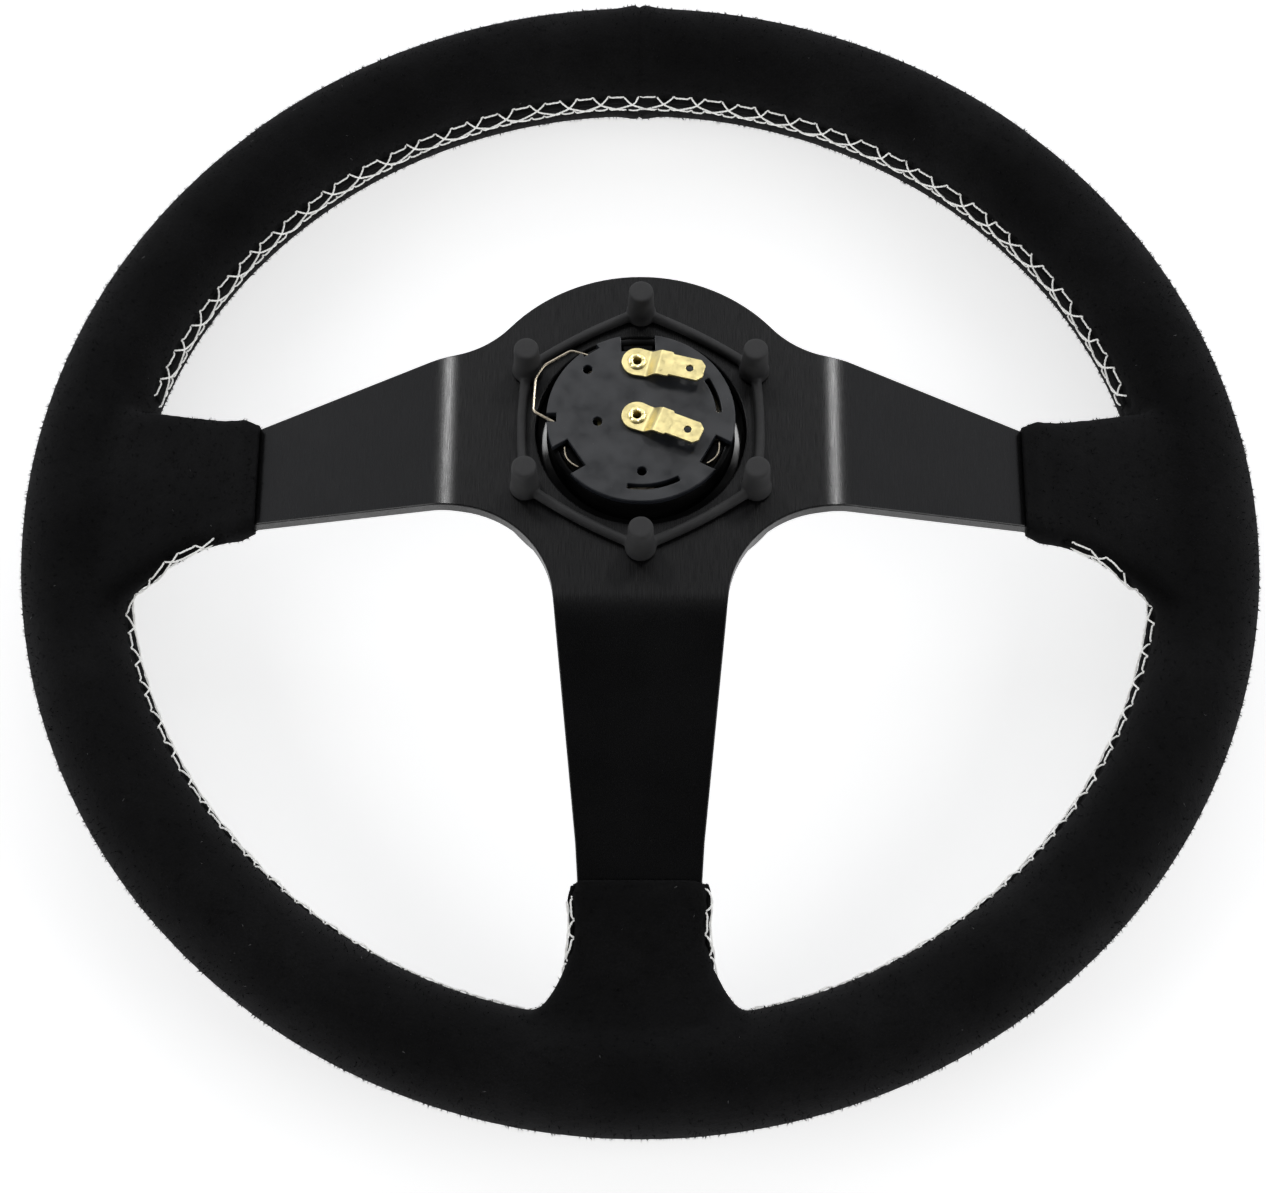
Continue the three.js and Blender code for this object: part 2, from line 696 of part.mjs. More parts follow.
// Six tapered rubber bosses joined by bars that bow outwards, each boss with a blind screw hole.
function buildRetainer() {
  const bottom = dish + clearance;
  const top = bottom + retainerBossHeight;
  const boss = turned([
    [0, bottom],
    [retainerBossBaseRadius, bottom],
    [retainerBossTopRadius, top - retainerBossRounding],
    [retainerBossTopRadius - retainerBossRounding, top],
    [0, top],
  ], smallSegments);
  const hole = pin(boltHoleRadius, bottom - 1, boltTip + clearance);
  const angle = 360 / boltCount;
  const chordRadius = boltCircleRadius * Math.cos(degrees(angle / 2));
  const half = retainerBarWidth / 2;
  const bar = (centreAngle) => {
    const edge = (side) => ({
      from: polar(boltCircleRadius + side, centreAngle - angle / 2),
      to: polar(boltCircleRadius + side, centreAngle + angle / 2),
      bow: polar(chordRadius + 2 * retainerBarBow + side, centreAngle),
    });
    const outer = edge(half);
    const inner = edge(-half);
    const shape = new THREE.Shape();
    shape.moveTo(outer.from.x, outer.from.y);
    shape.quadraticCurveTo(outer.bow.x, outer.bow.y, outer.to.x, outer.to.y);
    shape.lineTo(inner.to.x, inner.to.y);
    shape.quadraticCurveTo(inner.bow.x, inner.bow.y, inner.from.x, inner.from.y);
    return prism(shape, bottom, bottom + retainerBarHeight);
  };
  let retainer = null;
  boltPlaces.forEach(({ x, y }, i) => {
    const piece = boss.translate([x, y, 0]).add(bar(90 + angle / 2 + i * angle));
    retainer = retainer ? retainer.add(piece) : piece;
  });
  boltPlaces.forEach(({ x, y }) => {
    retainer = retainer.subtract(hole.translate([x, y, 0]));
  });
  return retainer;
}

addSolid('screw_retainer', buildRetainer(), 'rubber');

// ---------------------------------------------------------------- horn cup and base

// A tube through the bore, with a flange behind the trim ring and a ledge inside near its back.
addSolid('horn_cup', turned([
  [hornCupBore, hornCupFront],
  [hornCupRadius, hornCupFront],
  [hornCupRadius, hornFlangeFront],
  [hornFlangeRadius, hornFlangeFront],
  [hornFlangeRadius, hornFlangeBack],
  [hornCupRadius, hornFlangeBack],
  [hornCupRadius, hornCupBack],
  [hornCupBore, hornCupBack],
  [hornCupBore, hornLedgeTop],
  [hornLedgeBore, hornLedgeTop],
  [hornLedgeBore, hornLedgeBottom],
  [hornCupBore, hornLedgeBottom],
  [hornCupBore, hornCupFront],
]), 'plastic');

const clipHeight = hornBaseTop - hornBaseThickness / 2;
const clipSteps = 26;
const clipSpline = new THREE.CatmullRomCurve3([
  polar(hornCupRadius - clipHold, clipAngles.upperEnd, clipHeight),
  polar(boreRadius, clipAngles.upperBend, clipHeight),
  polar(boreRadius + clipReach, clipAngles.outerBend, clipHeight),
  polar(boreRadius + clipReach, clipAngles.corner, clipHeight),
  polar(boreRadius + clipWireRadius, clipAngles.lowerBend, clipHeight),
  polar(hornCupRadius - 2 * clipHold, clipAngles.lowerEnd, clipHeight),
], false, 'catmullrom', 0.15);

function buildHornBase() {
  const below = hornBaseBottom - 1;
  const above = hornBaseTop + 1;
  let base = pin(hornCupRadius, hornBaseBottom, hornBaseTop, 0, 0, roundSegments);
  const cut = (tool) => {
    base = base.subtract(tool);
  };
  const notchInner = hornCupRadius - notchDepth;
  const notchOuter = hornCupRadius + 1;
  const half = notchWidth / 2;
  const notch = roundedShape([
    [notchInner, -half],
    [notchOuter, -half],
    [notchOuter, half],
    [notchInner, half],
  ]);
  for (let i = 0; i < notchCount; i += 1) {
    cut(prism(notch, below, above).rotate([0, 0, notchFirstAngle + (i * 360) / notchCount]));
  }
  baseHoles.forEach(([inset, angle]) => {
    const { x, y } = polar(hornCupRadius - inset, angle);
    cut(pin(baseHoleRadius, below, above, x, y));
  });
  [upperTerminal, centreTerminal].forEach(({ x, y }) => {
    cut(pin(eyeletRadius + clearance, below, above, x, y));
  });
  const slotRadius = hornCupRadius - baseSlotInset;
  baseSlotArcs.forEach(([from, to]) => {
    const sweep = degrees(to - from);
    const centre = new THREE.Vector2();
    const outer = arcPoints(centre, slotRadius + baseSlotWidth / 2, degrees(from), sweep);
    const inner = arcPoints(centre, slotRadius - baseSlotWidth / 2, degrees(from), sweep).reverse();
    cut(prism(new THREE.Shape([...outer, ...inner]), below, above));
  });
  cut(wire(clipSpline, clipWireRadius + clearance, clipSteps));
  return base;
}

addSolid('horn_base', buildHornBase(), 'hornBase');
addSolid('wire_clip', wire(clipSpline, clipWireRadius, clipSteps), 'steel');

// ---------------------------------------------------------------- horn cap, emblem and spring

const emblemSeat = capFront + hornCapCrown / 2;
const emblemRingOuter = emblemRadius + clearance + emblemRingWidth;

// The domed cap: a skirt outside the cup, and a stem that runs through the ledge.
addSolid('horn_cap', turned([
  [0, emblemSeat],
  [emblemRingOuter + clearance, emblemSeat],
  [emblemRingOuter + clearance, capFront],
  [capRadius - hornCapCrown, capFront + hornCapCrown * 0.4],
  [capRadius - hornCapCrown * 0.3, capFront + hornCapCrown],
  [capRadius, capFront + hornCapCrown * 1.6],
  [capRadius, capInnerFace + hornCapSkirtDepth],
  [capSkirtInnerRadius, capInnerFace + hornCapSkirtDepth],
  [capSkirtInnerRadius, capInnerFace],
  [hornStemRadius, capInnerFace],
  [hornStemRadius, hornLedgeTop],
  [hornStemRadius - hornStemWall, hornLedgeTop],
  [hornStemRadius - hornStemWall, capInnerFace],
  [0, capInnerFace],
]), 'plastic');

const emblemBack = emblemSeat - clearance;
const emblemDisc = pin(emblemRadius, emblemBack - emblemThickness, emblemBack, 0, 0, roundSegments);
addSolid('horn_emblem_disc', emblemDisc, 'anodised');
const emblemRing = turnedRing(
  emblemRadius + clearance,
  emblemRingOuter,
  emblemBack - emblemRingThickness,
  emblemBack,
);
addSolid('horn_emblem_ring', emblemRing, 'aluminium');

// A coil between the cap and the ledge, round the stem.
class Coil extends THREE.Curve {
  getPoint(share, target = new THREE.Vector3()) {
    const radius = (hornStemRadius + hornCupBore) / 2;
    const bottom = capInnerFace + clearance + springWireRadius;
    const top = hornLedgeBottom - clearance - springWireRadius;
    const angle = share * springTurns * 360;
    return target.copy(polar(radius, angle, THREE.MathUtils.lerp(bottom, top, share)));
  }
}
addSolid('horn_spring', wire(new Coil(), springWireRadius, 14 * springTurns, 6), 'steel');

// ---------------------------------------------------------------- contacts, eyelets and terminals

addSolid('moving_contact', turnedRing(
  movingContactInnerRadius,
  hornCupBore - movingContactEdge,
  movingContactBottom,
  movingContactTop,
), 'steel');

function buildFixedContact() {
  const disc = pin(fixedContactRadius, fixedContactBottom, fixedContactTop, 0, 0, roundSegments);
  const { x, y } = centreTerminal;
  return disc.subtract(pin(eyeletRadius + clearance, fixedContactBottom - 1, fixedContactTop + 1, x, y));
}

addSolid('fixed_contact', buildFixedContact(), 'brass');

const terminalBottom = hornBaseTop + clearance;
const terminalTop = terminalBottom + terminalThickness;

// A blade terminal: a ring end on the base, a step up and a chamfered blade with a hole.
function buildTerminal() {
  const half = terminalBladeWidth / 2;
  const tip = terminalLength;
  const edge = [
    [0, terminalRingRadius],
    [terminalStepStart, terminalRingRadius],
    [terminalStepEnd, terminalShoulderHalfWidth],
    [terminalShoulderEnd, terminalShoulderHalfWidth],
    [terminalShoulderEnd, half],
    [tip - terminalTipChamfer, half],
    [tip, half - terminalTipChamfer],
  ];
  const blade = roundedShape([...edge, ...edge.map(([x, y]) => [x, -y]).reverse()]);
  const top = terminalTop + terminalStepHeight;
  const plan = prism(blade, 0, top).add(pin(terminalRingRadius, 0, top, 0, 0, 2 * smallSegments));
  const side = roundedShape([
    [-terminalRingRadius - 1, terminalBottom],
    [terminalStepStart + terminalThickness / 2, terminalBottom],
    [terminalStepEnd + terminalThickness / 2, terminalBottom + terminalStepHeight],
    [tip + 1, terminalBottom + terminalStepHeight],
    [tip + 1, top],
    [terminalStepEnd, top],
    [terminalStepStart, terminalTop],
    [-terminalRingRadius - 1, terminalTop],
  ]);
  return plan
    .intersect(strip(side, terminalRingRadius + 1))
    .subtract(pin(eyeletRadius + clearance, terminalBottom - 1, terminalTop + 1))
    .subtract(pin(terminalHoleRadius, terminalBottom, top + 1, terminalHoleDistance));
}

const terminalGeometry = toGeometry(buildTerminal());

// A hollow eyelet, rolled over above the terminal and below what lies under the base.
function buildEyelet(bottomHeadTop) {
  return turned([
    [eyeletBoreRadius, bottomHeadTop - eyeletHeadHeight],
    [eyeletHeadRadius, bottomHeadTop - eyeletHeadHeight],
    [eyeletHeadRadius, bottomHeadTop],
    [eyeletRadius, bottomHeadTop],
    [eyeletRadius, terminalTop + clearance],
    [eyeletHeadRadius, terminalTop + clearance],
    [eyeletHeadRadius, terminalTop + clearance + eyeletHeadHeight],
    [eyeletBoreRadius, terminalTop + clearance + eyeletHeadHeight],
    [eyeletBoreRadius, bottomHeadTop - eyeletHeadHeight],
  ], smallSegments);
}

function addContact(suffix, { x, y, angle }, bottomHeadTop) {
  const terminal = addMesh(`terminal_${suffix}`, terminalGeometry, 'brass');
  terminal.position.set(x, y, 0);
  terminal.rotation.z = degrees(angle);
  addSolid(`eyelet_${suffix}`, buildEyelet(bottomHeadTop), 'brass').position.set(x, y, 0);
}

addContact('upper', upperTerminal, hornBaseBottom - clearance);
addContact('centre', centreTerminal, fixedContactBottom - clearance);

export default group;
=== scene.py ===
# A dished competition steering wheel, lying face down on a pale table.

import math
import random

import bmesh
import bpy
import numpy as np
from mathutils import Matrix, Quaternion, Vector
from mathutils.bvhtree import BVHTree


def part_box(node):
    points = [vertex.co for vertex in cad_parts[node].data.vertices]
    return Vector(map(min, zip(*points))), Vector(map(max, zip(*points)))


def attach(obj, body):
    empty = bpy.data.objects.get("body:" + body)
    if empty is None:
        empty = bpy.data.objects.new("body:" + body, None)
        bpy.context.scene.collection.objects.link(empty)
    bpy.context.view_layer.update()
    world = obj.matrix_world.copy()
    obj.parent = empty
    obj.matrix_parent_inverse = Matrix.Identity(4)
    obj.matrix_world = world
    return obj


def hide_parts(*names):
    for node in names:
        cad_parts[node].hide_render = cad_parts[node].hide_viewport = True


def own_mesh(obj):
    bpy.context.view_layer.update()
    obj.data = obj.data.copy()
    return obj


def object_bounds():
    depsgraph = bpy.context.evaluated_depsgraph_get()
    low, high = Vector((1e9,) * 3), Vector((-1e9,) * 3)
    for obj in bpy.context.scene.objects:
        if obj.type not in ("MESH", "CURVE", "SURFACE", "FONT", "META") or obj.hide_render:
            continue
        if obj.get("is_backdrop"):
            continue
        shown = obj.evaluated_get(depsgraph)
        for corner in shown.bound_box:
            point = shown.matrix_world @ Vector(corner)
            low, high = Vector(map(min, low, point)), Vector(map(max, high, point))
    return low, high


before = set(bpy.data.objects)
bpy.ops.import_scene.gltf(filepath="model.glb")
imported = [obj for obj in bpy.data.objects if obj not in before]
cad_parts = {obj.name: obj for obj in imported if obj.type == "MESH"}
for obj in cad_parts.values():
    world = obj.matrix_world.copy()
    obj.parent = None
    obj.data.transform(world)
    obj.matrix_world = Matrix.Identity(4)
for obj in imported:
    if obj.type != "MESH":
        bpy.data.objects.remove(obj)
cad_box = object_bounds()
mm = 0.001

# ---------------------------------------------------------------- camera
# A short portrait lens on the driver's lap side of the wheel, looking down at its back.

camera_target = Vector((-2.0, -11.9, 0.0)) * mm
camera_distance = 859.9 * mm
camera_elevation = math.radians(65.18)
camera_azimuth = math.radians(0.09)
camera_roll = math.radians(0.07)

towards_camera = Vector((
    math.cos(camera_elevation) * math.sin(camera_azimuth),
    -math.cos(camera_elevation) * math.cos(camera_azimuth),
    math.sin(camera_elevation),
))


def add_object(name, data):
    """An object in the scene, at the origin."""
    thing = bpy.data.objects.new(name, data)
    bpy.context.scene.collection.objects.link(thing)
    return thing


camera = add_object("camera", bpy.data.cameras.new("camera"))
camera.data.lens = 84.94
camera.data.sensor_width = 36.0
camera.data.clip_start = 0.05
camera.location = camera_target + towards_camera * camera_distance
camera.rotation_mode = "QUATERNION"
camera.rotation_quaternion = (
    (-towards_camera).to_track_quat("-Z", "Y") @ Quaternion((0, 0, 1), camera_roll)
)
bpy.context.scene.camera = camera

# ---------------------------------------------------------------- table and light
# A white lit table under large soft boxes. Two narrow boxes stand beyond the wheel, left and
# right, where the folds of the spoke plate pick them up as streaks.


def new_material(name, roughness=0.5, metallic=0.0):
    """A node material with one Principled shader. Gives the material, its tree and the shader."""
    material = bpy.data.materials.new(name)
    material.use_nodes = True
    tree = material.node_tree
    tree.nodes.clear()
    output = tree.nodes.new("ShaderNodeOutputMaterial")
    shader = tree.nodes.new("ShaderNodeBsdfPrincipled")
    tree.links.new(shader.outputs["BSDF"], output.inputs["Surface"])
    shader.inputs["Roughness"].default_value = roughness
    shader.inputs["Metallic"].default_value = metallic
    return material, tree, shader


def add_node(tree, kind, inputs=None, **settings):
    """A node with its settings, and its inputs set, or linked where a socket is given."""
    node = tree.nodes.new(kind)
    for key, value in settings.items():
        setattr(node, key, value)
    for key, value in (inputs or {}).items():
        if isinstance(value, bpy.types.NodeSocket):
            tree.links.new(value, node.inputs[key])
        else:
            node.inputs[key].default_value = value
    return node


def shades(tree, factor, stops):
    """A ramp of (position, grey or colour) over a factor from 0 to 1."""
    ramp = add_node(tree, "ShaderNodeValToRGB", {"Fac": factor})
    elements = ramp.color_ramp.elements
    while len(elements) < len(stops):
        elements.new(0.5)
    for element, (position, colour) in zip(elements, stops):
        element.position = position
        rgb = colour if isinstance(colour, tuple) else (colour, colour, colour)
        element.color = (*rgb, 1.0)
    return ramp.outputs["Color"]


def place(tree, stretch=(1.0, 1.0, 1.0)):
    """The object's own coordinates in metres, stretched."""
    where = add_node(tree, "ShaderNodeTexCoord").outputs["Object"]
    return add_node(tree, "ShaderNodeMapping", {"Vector": where, "Scale": stretch}).outputs["Vector"]


def noise(tree, where, scale, detail=3.0, roughness=0.55):
    """Cloud noise from 0 to 1, with its scale per metre."""
    node = add_node(
        tree, "ShaderNodeTexNoise",
        {"Vector": where, "Scale": scale, "Detail": detail, "Roughness": roughness},
    )
    return node.outputs["Fac"]


def relief(tree, shader, height, distance, strength=1.0, under=None):
    """Bump of a given depth in metres on a shader, over any bump already there."""
    inputs = {"Height": height, "Distance": distance, "Strength": strength}
    if under is not None:
        inputs["Normal"] = under
    bump = add_node(tree, "ShaderNodeBump", inputs)
    tree.links.new(bump.outputs["Normal"], shader.inputs["Normal"])
    return bump.outputs["Normal"]


table_white, tree, shader = new_material("table_white", roughness=0.6)
shader.inputs["Specular IOR Level"].default_value = 0.15
cloud = noise(tree, place(tree), 3.0, detail=2.0)
tree.links.new(shades(tree, cloud, [(0.3, 0.88), (0.7, 0.91)]), shader.inputs["Base Color"])
shader.inputs["Emission Color"].default_value = (1.0, 1.0, 1.0, 1.0)
shader.inputs["Emission Strength"].default_value = 0.7

table_half = 3.0
table_height = -0.2 * mm
table_mesh = bpy.data.meshes.new("table")
table_corners = [(-1, -1), (1, -1), (1, 1), (-1, 1)]
table_points = [(table_half * x, table_half * y, table_height) for x, y in table_corners]
table_mesh.from_pydata(table_points, [], [(0, 1, 2, 3)])
table_mesh.materials.append(table_white)
table = add_object("table", table_mesh)
table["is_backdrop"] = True


def soft_box(name, direction, distance, width, height, power, along=None, gloss_only=False):
    """A rectangular light at a direction from the wheel, turned to face it. Its width may
    follow a given line, and it may show in shiny things only."""
    light = bpy.data.lights.new(name, "AREA")
    light.shape = "RECTANGLE"
    light.size = width
    light.size_y = height
    light.energy = power
    lamp = add_object(name, light)
    back = Vector(direction).normalized()
    side = Vector(along) if along else Vector((0, 0, 1)).cross(back)
    side = (side - back * side.dot(back)).normalized()
    turn = Matrix((side, back.cross(side), back)).transposed()
    lamp.location = back * distance
    lamp.rotation_mode = "QUATERNION"
    lamp.rotation_quaternion = turn.to_quaternion()
    lamp.visible_diffuse = not gloss_only


soft_box("light_left", (-0.9, -0.25, 0.45), 1.9, 1.1, 0.9, 9.0)
soft_box("light_right", (0.9, -0.25, 0.45), 1.9, 1.1, 0.9, 9.0)
soft_box("light_above", (0.0, 0.95, 0.55), 2.0, 1.6, 0.7, 5.0)
for name, side in (("streak_left", -1), ("streak_right", 1)):
    towards = (0.38 * side, 0.47, 0.78)
    across = (0.86, -0.10 * side, -0.51 * side)
    soft_box(name, towards, 1.9, 0.26, 0.34, 11.0, along=across, gloss_only=True)

# The room is pale beyond the wheel and dark on the lap side.
world = bpy.data.worlds.new("studio")
world.use_nodes = True
sky = world.node_tree
lap_side = Vector((0.0, -0.8, 0.6))
looking = add_node(sky, "ShaderNodeTexCoord").outputs["Generated"]
towards_lap = add_node(sky, "ShaderNodeVectorMath", {0: looking, 1: lap_side}, operation="DOT_PRODUCT")
room = shades(sky, towards_lap.outputs["Value"], [
    (0.0, (0.60, 0.61, 0.64)), (0.24, (0.13, 0.13, 0.135)), (0.80, (0.05, 0.05, 0.05)),
])
sky.links.new(room, sky.nodes["Background"].inputs["Color"])
sky.nodes["Background"].inputs["Strength"].default_value = 1.0
bpy.context.scene.world = world
bpy.context.scene.view_settings.view_transform = "Standard"

# ---------------------------------------------------------------- spoke plate
# One 4 mm aluminium plate: a hub disc with the bore and six screw holes, and arms at 3, 6
# and 9 o'clock. It is cut flat, its edges are broken, and it is folded down at the hub and
# level again at the rim. Black anodised, brushed, and worn a little paler along the edges.

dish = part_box("spoke_frame")[1].z
plate_thickness = 4.0 * mm
plate_edge = 0.35 * mm
hub_radius = 47.0 * mm
bore_radius = 28.0 * mm
screw_circle = 35.0 * mm
screw_hole = 2.8 * mm
screw_angles = [90 - 60 * i for i in range(6)]
side_half, side_taper = 14.5 * mm, 0.143
lower_half, lower_taper = 16.8 * mm, 0.105
sleeve_mouth = 105.0 * mm
tab_half = 13.0 * mm
tab_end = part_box("spoke_frame")[1].x
hub_fillet_top = 27.0 * mm
hub_fillet_lower = 28.0 * mm
hub_fold_at, hub_fold_radius = 52.5 * mm, 14.0 * mm
tab_fold_at, tab_fold_radius = 153.8 * mm, 3.0 * mm
tab_middle = 23.7 * mm
plate_middle = dish - plate_thickness / 2
arm_slope = math.atan2(dish - tab_middle - plate_thickness / 2, tab_fold_at - hub_fold_at)


def arc(centre, radius, start, end, steps):
    """Points on an arc between two angles in degrees."""
    angles = [math.radians(start + (end - start) * i / steps) for i in range(steps + 1)]
    return [(centre[0] + radius * math.cos(a), centre[1] + radius * math.sin(a)) for a in angles]


def circle(radius, centre=(0.0, 0.0), steps=48):
    return arc(centre, radius, 0, 360, steps)[:-1]


def eased(corners, radius=0.0, steps=5):
    """A closed outline with rounded corners; a corner (x, y, r) has a radius of its own."""
    result = []
    for i, corner in enumerate(corners):
        here = Vector(corner[:2])
        wanted = corner[2] if len(corner) > 2 else radius
        before = Vector(corners[i - 1][:2]) - here
        after = Vector(corners[(i + 1) % len(corners)][:2]) - here
        room = 0.49 * min(before.length, after.length)
        half = before.angle(after) / 2
        if wanted <= 0 or half > math.radians(88):
            result.append(tuple(here))
            continue
        setback = min(wanted / math.tan(half), room)
        real = setback * math.tan(half)
        before.normalize()
        after.normalize()
        centre = here + (before + after).normalized() * (real / math.sin(half))
        first = here + before * setback - centre
        last = here + after * setback - centre
        start = math.degrees(math.atan2(first.y, first.x))
        sweep = math.degrees(math.atan2(last.y, last.x)) - start
        sweep = (sweep + 180) % 360 - 180
        result += arc(centre, real, start, start + sweep, steps)
    return result


def finish_mesh(piece, smooth_angle=None, merge=1e-6):
    """Merges doubles and turns the faces outwards. Edges sharper than the angle stay crisp."""
    work = bmesh.new()
    work.from_mesh(piece.data)
    bmesh.ops.remove_doubles(work, verts=work.verts, dist=merge)
    bmesh.ops.dissolve_degenerate(work, edges=work.edges, dist=1e-7)
    bmesh.ops.recalc_face_normals(work, faces=work.faces)
    if smooth_angle is not None:
        limit = math.radians(smooth_angle)
        for face in work.faces:
            face.smooth = True
        for edge in work.edges:
            edge.smooth = len(edge.link_faces) == 2 and edge.calc_face_angle(0.0) < limit
    work.to_mesh(piece.data)
    work.free()
    return piece


def new_piece(name, mesh, material):
    """An object at the origin with one material."""
    piece = add_object(name, mesh)
    mesh.name = name
    mesh.materials.clear()
    mesh.materials.append(material)
    return piece


def freeze(piece):
    """Turns a piece and its modifiers into a plain mesh piece of the same name."""
    bpy.context.view_layer.update()
    evaluated = piece.evaluated_get(bpy.context.evaluated_depsgraph_get())
    mesh = bpy.data.meshes.new_from_object(evaluated)
    if piece.type == "MESH":
        piece.modifiers.clear()
        piece.data = mesh
        return piece
    bpy.data.objects.remove(piece)
    return mesh


def cut_sheet(name, outlines, thickness, edge, material):
    """Flat stock cut to an outline with holes, its edges broken by a small radius. It lies
    in the XY plane with its middle at height zero."""
    stock = bpy.data.curves.new(name, "CURVE")
    stock.dimensions = "2D"
    stock.fill_mode = "BOTH"
    stock.extrude = thickness / 2 - edge
    stock.bevel_depth = edge
    stock.bevel_resolution = 1
    stock.offset = -edge
    for outline in outlines:
        spline = stock.splines.new("POLY")
        spline.points.add(len(outline) - 1)
        for point, (x, y) in zip(spline.points, outline):
            point.co = (x, y, 0.0, 1.0)
        spline.use_cyclic_u = True
    return new_piece(name, freeze(add_object(name + "_stock", stock)), material)


def score(piece, lines):
    """Adds edges to a sheet along lines of (point, direction across the line)."""
    work = bmesh.new()
    work.from_mesh(piece.data)
    for point, across in lines:
        everything = [*work.verts, *work.edges, *work.faces]
        bmesh.ops.bisect_plane(work, geom=everything, plane_co=point, plane_no=across, dist=1e-7)
    work.to_mesh(piece.data)
    work.free()


def move_points(piece, move):
    """Moves every point of a piece by a function of its place."""
    for vertex in piece.data.vertices:
        vertex.co = move(vertex.co)
    piece.data.update()


def polar(radius, angle):
    return (radius * math.cos(math.radians(angle)), radius * math.sin(math.radians(angle)))


def plate_outline():
    """The plate's outline seen from behind, from 12 o'clock clockwise."""
    side_at_axis = side_half + side_taper * sleeve_mouth
    lower_at_axis = lower_half + lower_taper * sleeve_mouth
    cross_x = (lower_at_axis - lower_taper * side_at_axis) / (1 - side_taper * lower_taper)
    crossing = (cross_x, -(side_at_axis - side_taper * cross_x))
    along = Vector((1, -side_taper)).normalized()
    away = Vector((-along.y, along.x))
    rise = away.y * side_at_axis + hub_fillet_top
    run = math.sqrt((hub_radius + hub_fillet_top) ** 2 - rise ** 2)
    centre = away * rise + along * run
    to_centre = math.degrees(math.atan2(centre.y, centre.x))
    off_edge = math.degrees(math.atan2(-away.y, -away.x)) % 360
    disc = arc((0, 0), hub_radius, 90, to_centre, 16)
    fillet = arc(centre, hub_fillet_top, to_centre + 180, off_edge, 16)
    right = disc + fillet[1:] + [(sleeve_mouth, side_half), (tab_end, tab_half), (tab_end, -tab_half)]
    right += [(sleeve_mouth, -side_half)]
    lower_right = [(lower_half, -sleeve_mouth), (tab_half, -tab_end)]
    corner = (*crossing, hub_fillet_lower)
    lower = [(sleeve_mouth, -side_half), corner, (lower_half, -sleeve_mouth)]
    rounded = eased(lower, steps=18)[1:-1]
    half = right + rounded + lower_right
    return half + [(-x, y) for x, y in reversed(half)][:-1]


def fold(distance, lift):
    """Where a point of the flat sheet goes: its reach from the axis and its height."""
    half_turn = math.tan(arm_slope / 2)
    hub_bend = hub_fold_radius + plate_thickness / 2
    tab_bend = tab_fold_radius + plate_thickness / 2
    hub_vertex = hub_fold_at - plate_thickness / 2 * half_turn
    tab_vertex = tab_fold_at - plate_thickness / 2 * half_turn
    first = hub_vertex - hub_bend * half_turn
    second = first + hub_bend * math.sin(arm_slope)
    fourth = tab_vertex + tab_bend * half_turn
    third = fourth - tab_bend * math.sin(arm_slope)
    if distance <= first:
        angle, height = 0.0, plate_middle
    elif distance <= second:
        angle = math.asin((distance - first) / hub_bend)
        height = plate_middle - hub_bend * (1 - math.cos(angle))
    elif distance <= third:
        angle = arm_slope
        height = plate_middle - (distance - hub_vertex) * math.tan(arm_slope)
    elif distance <= fourth:
        angle = math.asin((fourth - distance) / tab_bend)
        height = tab_middle + tab_bend * (1 - math.cos(angle))
    else:
        angle, height = 0.0, tab_middle
    return distance + lift * math.sin(angle), height + lift * math.cos(angle)


def fold_plate(point):
    x, y, lift = point
    if abs(x) > abs(y) and abs(x) > 40 * mm:
        reach, height = fold(abs(x), lift)
        return Vector((math.copysign(reach, x), y, height))
    if y < -40 * mm:
        reach, height = fold(-y, lift)
        return Vector((x, -reach, height))
    return Vector((x, y, plate_middle + lift))


def mix(tree, factor, a, b, kind="RGBA"):
    """Two colours, or two plain values, mixed by a factor."""
    node = add_node(tree, "ShaderNodeMix", {"Factor": factor, "A": a, "B": b}, data_type=kind)
    return node.outputs["Result"]


def maths(tree, operation, a, b):
    """One step of arithmetic on two sockets or numbers."""
    return add_node(tree, "ShaderNodeMath", {0: a, 1: b}, operation=operation).outputs["Value"]


# Brushed black anodising: fine lines across the arms, a little dust, paler worn edges.
black_anodised, tree, shader = new_material("black_anodised", roughness=0.4)
shader.inputs["Specular IOR Level"].default_value = 0.32
brushing = noise(tree, place(tree, (1.0, 0.03, 1.0)), 5200.0, detail=4.0, roughness=0.7)
where = place(tree)
blotches = noise(tree, where, 42.0, detail=4.0)
dust = noise(tree, where, 1900.0, detail=1.0)
film = shades(tree, mix(tree, 0.5, brushing, blotches, "FLOAT"), [
    (0.35, (0.0034, 0.0035, 0.0038)), (0.68, (0.0092, 0.0092, 0.0097)),
])
specks = shades(tree, dust, [(0.80, 0.0), (0.83, 0.5)])
dusted = mix(tree, specks, film, (0.12, 0.12, 0.12, 1.0))
worn = add_node(tree, "ShaderNodeVertexColor", layer_name="worn_edge").outputs["Color"]
wear_patches = shades(tree, noise(tree, where, 420.0, detail=3.0), [(0.45, 0.1), (0.7, 0.8)])
wear = maths(tree, "MULTIPLY", worn, wear_patches)
tree.links.new(mix(tree, wear, dusted, (0.06, 0.06, 0.062, 1.0)), shader.inputs["Base Color"])
tree.links.new(shades(tree, brushing, [(0.3, 0.22), (0.7, 0.33)]), shader.inputs["Roughness"])
relief(tree, shader, brushing, 0.02 * mm, 0.5)

